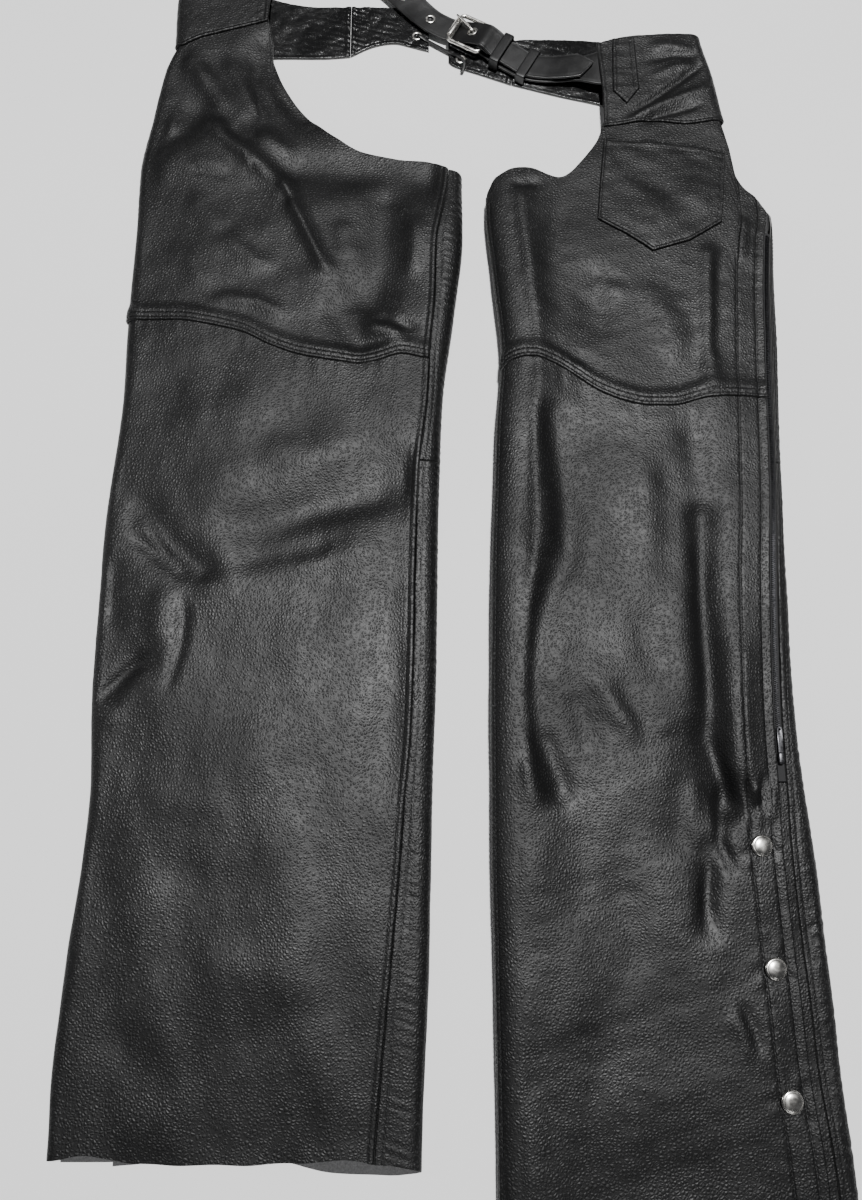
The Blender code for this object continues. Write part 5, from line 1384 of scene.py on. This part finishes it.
def slider(side, leg, centre):
    across, high = superellipse(20)
    grid = []
    for dy, half, low, top in SLIDER_ROWS:
        y = SLIDER_Y + dy + np.zeros(20)
        grid.append(leg.at(centre(y) + half * across, y, lerp(low, top, 0.5 + 0.5 * high)))
    wrapped(side + "_zip_slider_body", np.stack(grid), TEETH, [side + "_zip_slider"])
    angle = 2.0 * math.pi * np.arange(40) / 40
    middle = SLIDER_Y + PULL_START + PULL_LENGTH / 2.0
    reach = PULL_LENGTH / 2.0 - PULL_HALF
    out_u = PULL_HALF * np.cos(angle)
    out_y = PULL_HALF * np.sin(angle) + reach * np.sign(np.sin(angle))
    hole_u = 0.85 * np.cos(angle)
    hole_y = 0.85 * np.sin(angle) + reach - 0.3
    rings = []
    for share, z in ((0.0, 0.3), (0.0, 0.75), (0.06, 0.95), (0.94, 0.95), (1.0, 0.8), (1.0, 0.3)):
        u, y = lerp(out_u, hole_u, share), middle + lerp(out_y, hole_y, share)
        rings.append(leg.at(centre(y) + u, y, z))
    wrapped(side + "_zip_pull", np.stack(rings), TEETH, closed=True)


for side, leg, edge, sign in ZIP_SIDES:
    def beside(reach, edge=edge, sign=sign):
        return lambda y: edge(y) + sign * reach

    middle = beside(CHANNEL / 2.0)
    zip_piece(side + "_zip_tape_cloth", leg, beside(-TAPE_REACH), beside(CHANNEL + TAPE_REACH), ZIP_END_Y,
              ZIP_TOP_Y, TAPE, [TAPE_CLOTH] * 3, side + "_zip_tape", 3.0)
    zip_piece(side + "_snap_strip_skin", leg, beside(-STRIP_REACH), beside(CHANNEL + STRIP_LAP),
              PLACKET_END[side], ZIP_END_Y - 1.0, LEATHER, [PANEL, SUEDE, CUT],
              side + "_snap_strip", 3.0)
    row_of_teeth(side + "_zip_teeth", leg, middle, SLIDER_Y + 9.0, ZIP_TOP_Y - 3.0)
    slider(side, leg, middle)
    for i, (u, y) in enumerate(snap_places(side)):
        up = surface_normal(leg, u, y)
        lathe(f"{side}_snap_cap_{i + 1}", SNAP_PROFILE, leg.at(u, y, FACING_STEP + 0.2) + up * GAP, up, NICKEL,
              [f"{side}_snap_{i + 1}"])

# Belt: x, y, height of the strap's middle, tilt across it
BELT_ROWS = [
    (-178, 492, 10.9, 0), (-162, 498, 9.8, 3), (-138, 505, 7.2, 8), (-110, 507, 6.2, 14),
    (-84, 500, 6.6, 16), (-62, 485, 6.8, 12), (-43, 465, 6.4, 5), (-24, 446, 5.6, 0),
    (-10, 437, 4.9, 0), (0, 433.2, 4.7, 0), (7, 429.8, 6.9, 0), (14, 426, 9.8, 0),
    (21, 422, 12.9, 0), (28, 418, 14.5, 0), (34, 414.5, 12.6, 0), (42, 408.5, 9.4, 0),
    (54, 400.5, 8.2, 0), (66, 393, 7.4, 0), (80, 389.5, 8.0, 0), (98, 388, 10.2, 0),
    (112, 388.5, 12.0, 0), (124, 390, 13.2, 0)]
BELT_HALF = 12.5
STRAP_EYELETS = [(16.6, 424.5), (-22, 444.5), (-48, 471)]
BUCKLE = np.array([14.0, 425.7, 9.0])
BUCKLE_TURN = math.radians(-29.0)
BUCKLE_ALONG = np.array([math.cos(BUCKLE_TURN), math.sin(BUCKLE_TURN), 0.0])
BUCKLE_ACROSS = np.array([-math.sin(BUCKLE_TURN), math.cos(BUCKLE_TURN), 0.0])
BUCKLE_HALF_LENGTH = 16.0
BUCKLE_HALF_WIDTH = 15.4
BUCKLE_CORNER = 4.0
WIRE = 1.8
ROLLER = 3.0
CHAPE_ROWS = [
    (153, 387, 11.0), (140, 386.5, 11.0), (127, 386, 10.4), (113, 387, 8.6), (97, 387.5, 6.2),
    (80, 388, 5.2), (65, 391, 4.9), (52, 398.5, 4.8), (42, 405.5, 4.9), (35, 412, 5.3)]
# Prong: along and across the buckle, height above the buckle's middle
PRONG_ROWS = [
    (11.4, 0.2, -1.4), (8.0, 0.2, -1.4), (5.4, 0.2, -0.8), (3.8, 0.2, 0.8), (2.6, 0.5, 2.6),
    (0.6, 1.2, 3.9), (-4.0, 3.2, 4.5), (-10.0, 5.6, 4.6), (-16.0, 8.0, 4.5), (-19.4, 9.2, 4.1)]
PRONG = 1.1
KEEPERS = [(42.0, 407.0, 3.2, 12.2), (65.5, 392.0, 3.2, 9.8)]
KEEPER_HALF = 15.4
KEEPER_LENGTH = 9.0
EYELET_PROFILE = [(4.8, 0.0), (4.78, 0.3), (4.55, 0.62), (4.2, 0.86), (3.8, 0.98), (3.4, 1.0), (3.0, 0.9),
                  (2.7, 0.7), (2.54, 0.4), (2.5, 0.0)]


def strap(name, ribbon, half, node, holes=(), step=1.0):
    """A strap with rounded edges, a crease along each and dents where its eyelets are set."""
    count = round(ribbon.length / step)
    u = np.linspace(0.0, ribbon.length, count)[:, None]
    wide = half(u)
    share = np.concatenate([[-1.0, -0.985, -0.95, -0.9, -0.86, -0.82], np.linspace(-0.74, 0.74, 19),
                            [0.82, 0.86, 0.9, 0.95, 0.985, 1.0]])[None, :]
    v = wide * share
    edge = np.minimum(wide - np.abs(v), np.minimum(u + 0.3, ribbon.length - u + 0.3))
    face = STRAP / 2.0 + rounded(edge, 0.8)
    dent = groove(wide - np.abs(v), 2.0, 0.12, 0.5) + 0.06 * waves(u + 0.0 * v, v, 109, 1.0, 16.0)
    for place in holes:
        away = np.hypot(u - place, v)
        dent = dent - 1.2 * smooth((EYELET_HOLE - away) / 0.6)
    u = u + 0.0 * v
    return slab(name, ribbon.at(u, v, face + dent), ribbon.at(u, v, -face), [BELT, BELT, STRAP_EDGE],
                [node])


belt = Ribbon([row[:3] for row in BELT_ROWS], [row[3] for row in BELT_ROWS])
eyelet_us = [belt.nearest(*place) for place in STRAP_EYELETS]


def belt_half(u):
    left = belt.length - u
    return np.interp(left, [0.0, 0.7, 13.0], [0.9, 2.2, BELT_HALF])


strap("belt_strap_body", belt, belt_half, "belt_strap", eyelet_us)
for i, u in enumerate(eyelet_us):
    up = surface_normal(belt, u, 0.0)
    profile = [(radius, 0.6 * height + GAP) for radius, height in EYELET_PROFILE]
    lathe(f"strap_eyelet_ring_{i + 1}", profile, belt.at(u, 0.0, STRAP / 2.0), up, NICKEL,
          [f"strap_eyelet_{i + 1}"], closed=True)
for i, (x, y) in enumerate(EYELET_PLACES):
    profile = [(radius, 0.5 * height + GAP) for radius, height in EYELET_PROFILE]
    lathe(f"band_eyelet_ring_{i + 1}", profile, np.array([x, y, LEATHER]), (0.0, 0.0, 1.0), NICKEL,
          [f"band_eyelet_{i + 1}"], closed=True)


def buckle_point(a, b, z=0.0):
    return BUCKLE + BUCKLE_ALONG * a + BUCKLE_ACROSS * b + np.array([0.0, 0.0, z])


bar = buckle_point(BUCKLE_HALF_LENGTH, 0.0)
turn = WIRE + GAP + STRAP / 2.0
chape_line = list(CHAPE_ROWS)
for k in range(7):
    angle = math.pi * k / 6.0
    chape_line.append(bar - BUCKLE_ALONG * (turn * math.sin(angle)) - np.array([0, 0, turn * math.cos(angle)]))
for reach, drop in ((4.0, 1.3), (8.0, 3.2)):
    chape_line.append(bar + BUCKLE_ALONG * reach + np.array([0, 0, turn - drop]))
strap("belt_chape_body", Ribbon(chape_line), lambda u: lerp(18.5, BELT_HALF, smooth((u - 16.0) / 32.0)),
      "belt_chape", step=0.8)


def bar_loop(points, radius, sides=18, closed=False, ends=None):
    """Rings of points along a round bar; ends scales the radius along it."""
    points = np.array(points, float)
    if closed:
        way = np.roll(points, -1, axis=0) - np.roll(points, 1, axis=0)
    else:
        way = np.gradient(points, axis=0)
    way /= np.linalg.norm(way, axis=1)[:, None]
    side = np.cross(way, [0.0, 0.0, 1.0])
    side /= np.linalg.norm(side, axis=1)[:, None]
    other = np.cross(side, way)
    angle = 2.0 * math.pi * np.arange(sides) / sides
    scale = np.ones(len(points)) if ends is None else np.asarray(ends)
    ring = side[:, None] * np.cos(angle)[None, :, None] + other[:, None] * np.sin(angle)[None, :, None]
    return points[:, None] + ring * (radius * scale)[:, None, None]


a, b = BUCKLE_HALF_LENGTH - BUCKLE_CORNER, BUCKLE_HALF_WIDTH - BUCKLE_CORNER
loop = []
for ca, cb, start in ((a, b, 0), (-a, b, 90), (-a, -b, 180), (a, -b, 270)):
    for k in range(10):
        angle = math.radians(start + 10.0 * k)
        loop.append(buckle_point(ca + BUCKLE_CORNER * math.cos(angle), cb + BUCKLE_CORNER * math.sin(angle)))
wrapped("buckle_frame_wire", bar_loop(loop, WIRE, closed=True), NICKEL, ["buckle_frame"], closed=True)
reach = BUCKLE_HALF_WIDTH - BUCKLE_CORNER - 0.4
bore = WIRE + GAP
profile = [(bore, -reach), (bore, reach), (ROLLER - 0.5, reach), (ROLLER - 0.15, reach - 0.15),
           (ROLLER, reach - 0.6), (ROLLER, -reach + 0.6), (ROLLER - 0.15, -reach + 0.15), (ROLLER - 0.5, -reach)]
lathe("buckle_roller_tube", profile, buckle_point(-BUCKLE_HALF_LENGTH, 0.0), BUCKLE_ACROSS, NICKEL,
      ["buckle_roller"], closed=True)
prong = Ribbon([buckle_point(*row) for row in PRONG_ROWS])
shares = np.linspace(0.0, 1.0, 60)
line = prong.read(prong.fine, shares * prong.length)
taper = np.sqrt(np.clip(1.0 - np.clip(1.0 - np.minimum(shares, 1.0 - shares) / 0.035, 0, 1) ** 2, 0.04, 1.0))
wrapped("buckle_prong_wire", bar_loop(line, PRONG, 14, ends=taper * lerp(1.0, 0.82, shares)), NICKEL,
        ["buckle_prong"])

# Keepers
for i, (x, y, low, high) in enumerate(KEEPERS):
    across, tall = superellipse(72, 0.18)
    rings = []
    for shift, depth in ((-1.0, 0.35), (-1.0, 0.65), (-0.94, 0.92), (-0.80, 1.0), (-0.5, 1.04), (0.0, 1.06),
                         (0.5, 1.04), (0.80, 1.0), (0.94, 0.92), (1.0, 0.65), (1.0, 0.35), (0.94, 0.06),
                         (0.5, 0.0), (-0.5, 0.0), (-0.94, 0.06)):
        half = KEEPER_HALF + LEATHER * depth
        tall_half = (high - low) / 2.0 + LEATHER * depth
        along = shift * KEEPER_LENGTH / 2.0
        centre = np.array([x, y, (low + high) / 2.0]) + BUCKLE_ALONG * along
        rings.append(centre + BUCKLE_ACROSS * (across * half)[:, None]
                     + np.array([0.0, 0.0, 1.0]) * (tall * tall_half)[:, None])
    wrapped(f"belt_keeper_loop_{i + 1}", np.stack(rings), BELT, [f"belt_keeper_{i + 1}"],
            closed=True)

# Lacing: distance from an eyelet's middle and the height of the thong's middle there
LACE_DIP = [(0.0, 1.5), (1.0, 2.7), (2.0, 3.35), (3.8, 3.45), (6.5, 2.9), (9.0, 2.5), (12.0, 2.35)]
# Free end: x, y and height, from the last eyelet on
LACE_TAIL = [(5, 405, 3.5), (8.2, 400, 3.3), (7.6, 394.5, 2.6), (5.5, 389.5, 1.9)]
LACE_WIDTH = 3.0
LACE_WALL = 1.1


def lace_points(start, finish, tail=()):
    start, finish = np.array([*start, 0.0]), np.array([*finish, 0.0])
    way = (finish - start) / np.linalg.norm(finish - start)
    points = [start + way * reach + np.array([0, 0, z]) for reach, z in LACE_DIP]
    if tail:
        points += [finish - way * reach + np.array([0, 0, z]) for reach, z in reversed(LACE_DIP[3:])]
        return points + [np.array(row, float) for row in tail]
    return points + [finish - way * reach + np.array([0, 0, z]) for reach, z in reversed(LACE_DIP)]


def thong(name, points, node):
    ribbon = Ribbon(points)
    u = np.linspace(0.0, ribbon.length, round(ribbon.length / 0.7))
    across, high = superellipse(20, 0.6)
    fade = np.minimum(np.minimum(u, ribbon.length - u) / 0.5, 1.0)
    fade = 0.5 + 0.5 * np.sqrt(1.0 - (1.0 - fade) ** 2)
    grid = ribbon.at(u[:, None], LACE_WIDTH / 2.0 * across[None, :] * fade[:, None],
                     LACE_WALL / 2.0 * high[None, :] * fade[:, None])
    return wrapped(name, grid, BELT, [node]), ribbon


thong("back_lace_thong", lace_points(EYELET_PLACES[0], EYELET_PLACES[2]), "back_lace")
lace, ribbon = thong("lace_end_thong", lace_points(EYELET_PLACES[1], EYELET_PLACES[3], LACE_TAIL), "lace_end")
path = world(ribbon.fine)

# Stitching
rows = []
for side, leg, edge, sign in ZIP_SIDES:
    knee = RIGHT_KNEE if side == "right" else LEFT_KNEE
    hem = right_hem if side == "right" else left_hem
    top = 236.0 if side == "right" else 228.0

    def lift(u, y, knee=knee):
        return np.where(y > knee.read(u, "y"), band_rise(knee, u, y), 0.0) - 0.05

    for inner in (ZIP_STITCH, FACING_STITCH):
        line = [(float(edge(y)) - sign * inner, y) for y in np.arange(hem(edge(-500.0)) + 3.0, top, 3.0)]
        rows.append((leg, line, lift))
    back = right_zip_back if side == "right" else left_zip_back
    way = -1.0 if side == "right" else 1.0
    line = [(float(back(y)) + way * (SEAM_STITCH - 0.5), y) for y in np.arange(-490.0, 232.0, 3.0)]
    rows.append((leg, line, -0.25))
    front, rear = ((right_inseam_front, right_inseam_back) if side == "right"
                   else (left_inseam_front, left_back_end))
    way = -1.0 if side == "right" else 1.0
    line = [(float(front(y)) + way * SEAM_STITCH, y) for y in np.arange(-490.0, 245.0, 3.0)]
    rows.append((leg, line, lift))
    line = [(float(rear(y)) - way * (SEAM_STITCH - 0.5), y) for y in np.arange(-490.0, 245.0, 3.0)]
    rows.append((leg, line, -0.25))
    low, high = ((right_zip_edge(100.0), right_inseam_front(100.0)) if side == "right"
                 else (left_inseam_front(70.0), left_zip_edge(60.0)))
    for d in KNEE_STITCHES:
        line = [(u, float(knee.read(u, "y")) + d) for u in np.linspace(float(low) + 3, float(high) - 3, 120)]
        rows.append((leg, line, BAND_LIFT - 0.22))
stitches("leg_stitching", rows)

rows = [(RIGHT, inset(RIGHT_SEAM_LINE[::-1], STITCH_IN), right_rise),
        (RIGHT, inset(curve_line(right_front), 4.0), right_rise),
        (LEFT, inset(LEFT_SEAM_LINE, STITCH_IN), left_rise),
        (LEFT, inset(curve_line(left_front), -4.0), left_rise),
        (LEFT, inset(curve_line(left_front), -10.5), left_rise),
        (RIGHT, inset(curve_line(right_front), 10.5), right_rise)]
tab_off = OVER * 2.0 + 0.1 - 0.25
rows += [(LEFT, [(144.6, 360), (146.4, 413)], tab_off), (LEFT, [(159.6, 362), (157.8, 414)], tab_off),
         (LEFT, [(145.6, 358.2), (152.1, 350.6), (158.8, 360.0)], tab_off)]
pocket_off = POCKET_BASE - 0.2
outline = line_points(pocket_left[::-1] + pocket_low[1:] + pocket_right[1:], np.linspace(0.0, 1.0, 120))
rows += [(LEFT, inset(outline, STITCH_IN + 0.4), pocket_off), (LEFT, inset(pocket_high, -2.4), pocket_off),
         (LEFT, inset(pocket_high, -9.0), pocket_off)]
stitches("yoke_stitching", rows)

rows = [(FLOOR_R, inset(right_yoke_low, 3.0)[2:], LEATHER), (FLOOR_R, inset(right_band_low, 3.0), LEATHER),
        (FLOOR_L, inset(left_band_low, 3.0), LEATHER), (FLOOR_L, inset(left_yoke_low, 3.0)[:-2], LEATHER),
        (FLOOR_R, inset(right_band_high, -3.0), LEATHER), (FLOOR_L, inset(left_yoke_high, -3.0)[:-2], LEATHER)]
stitches("band_stitching", rows)
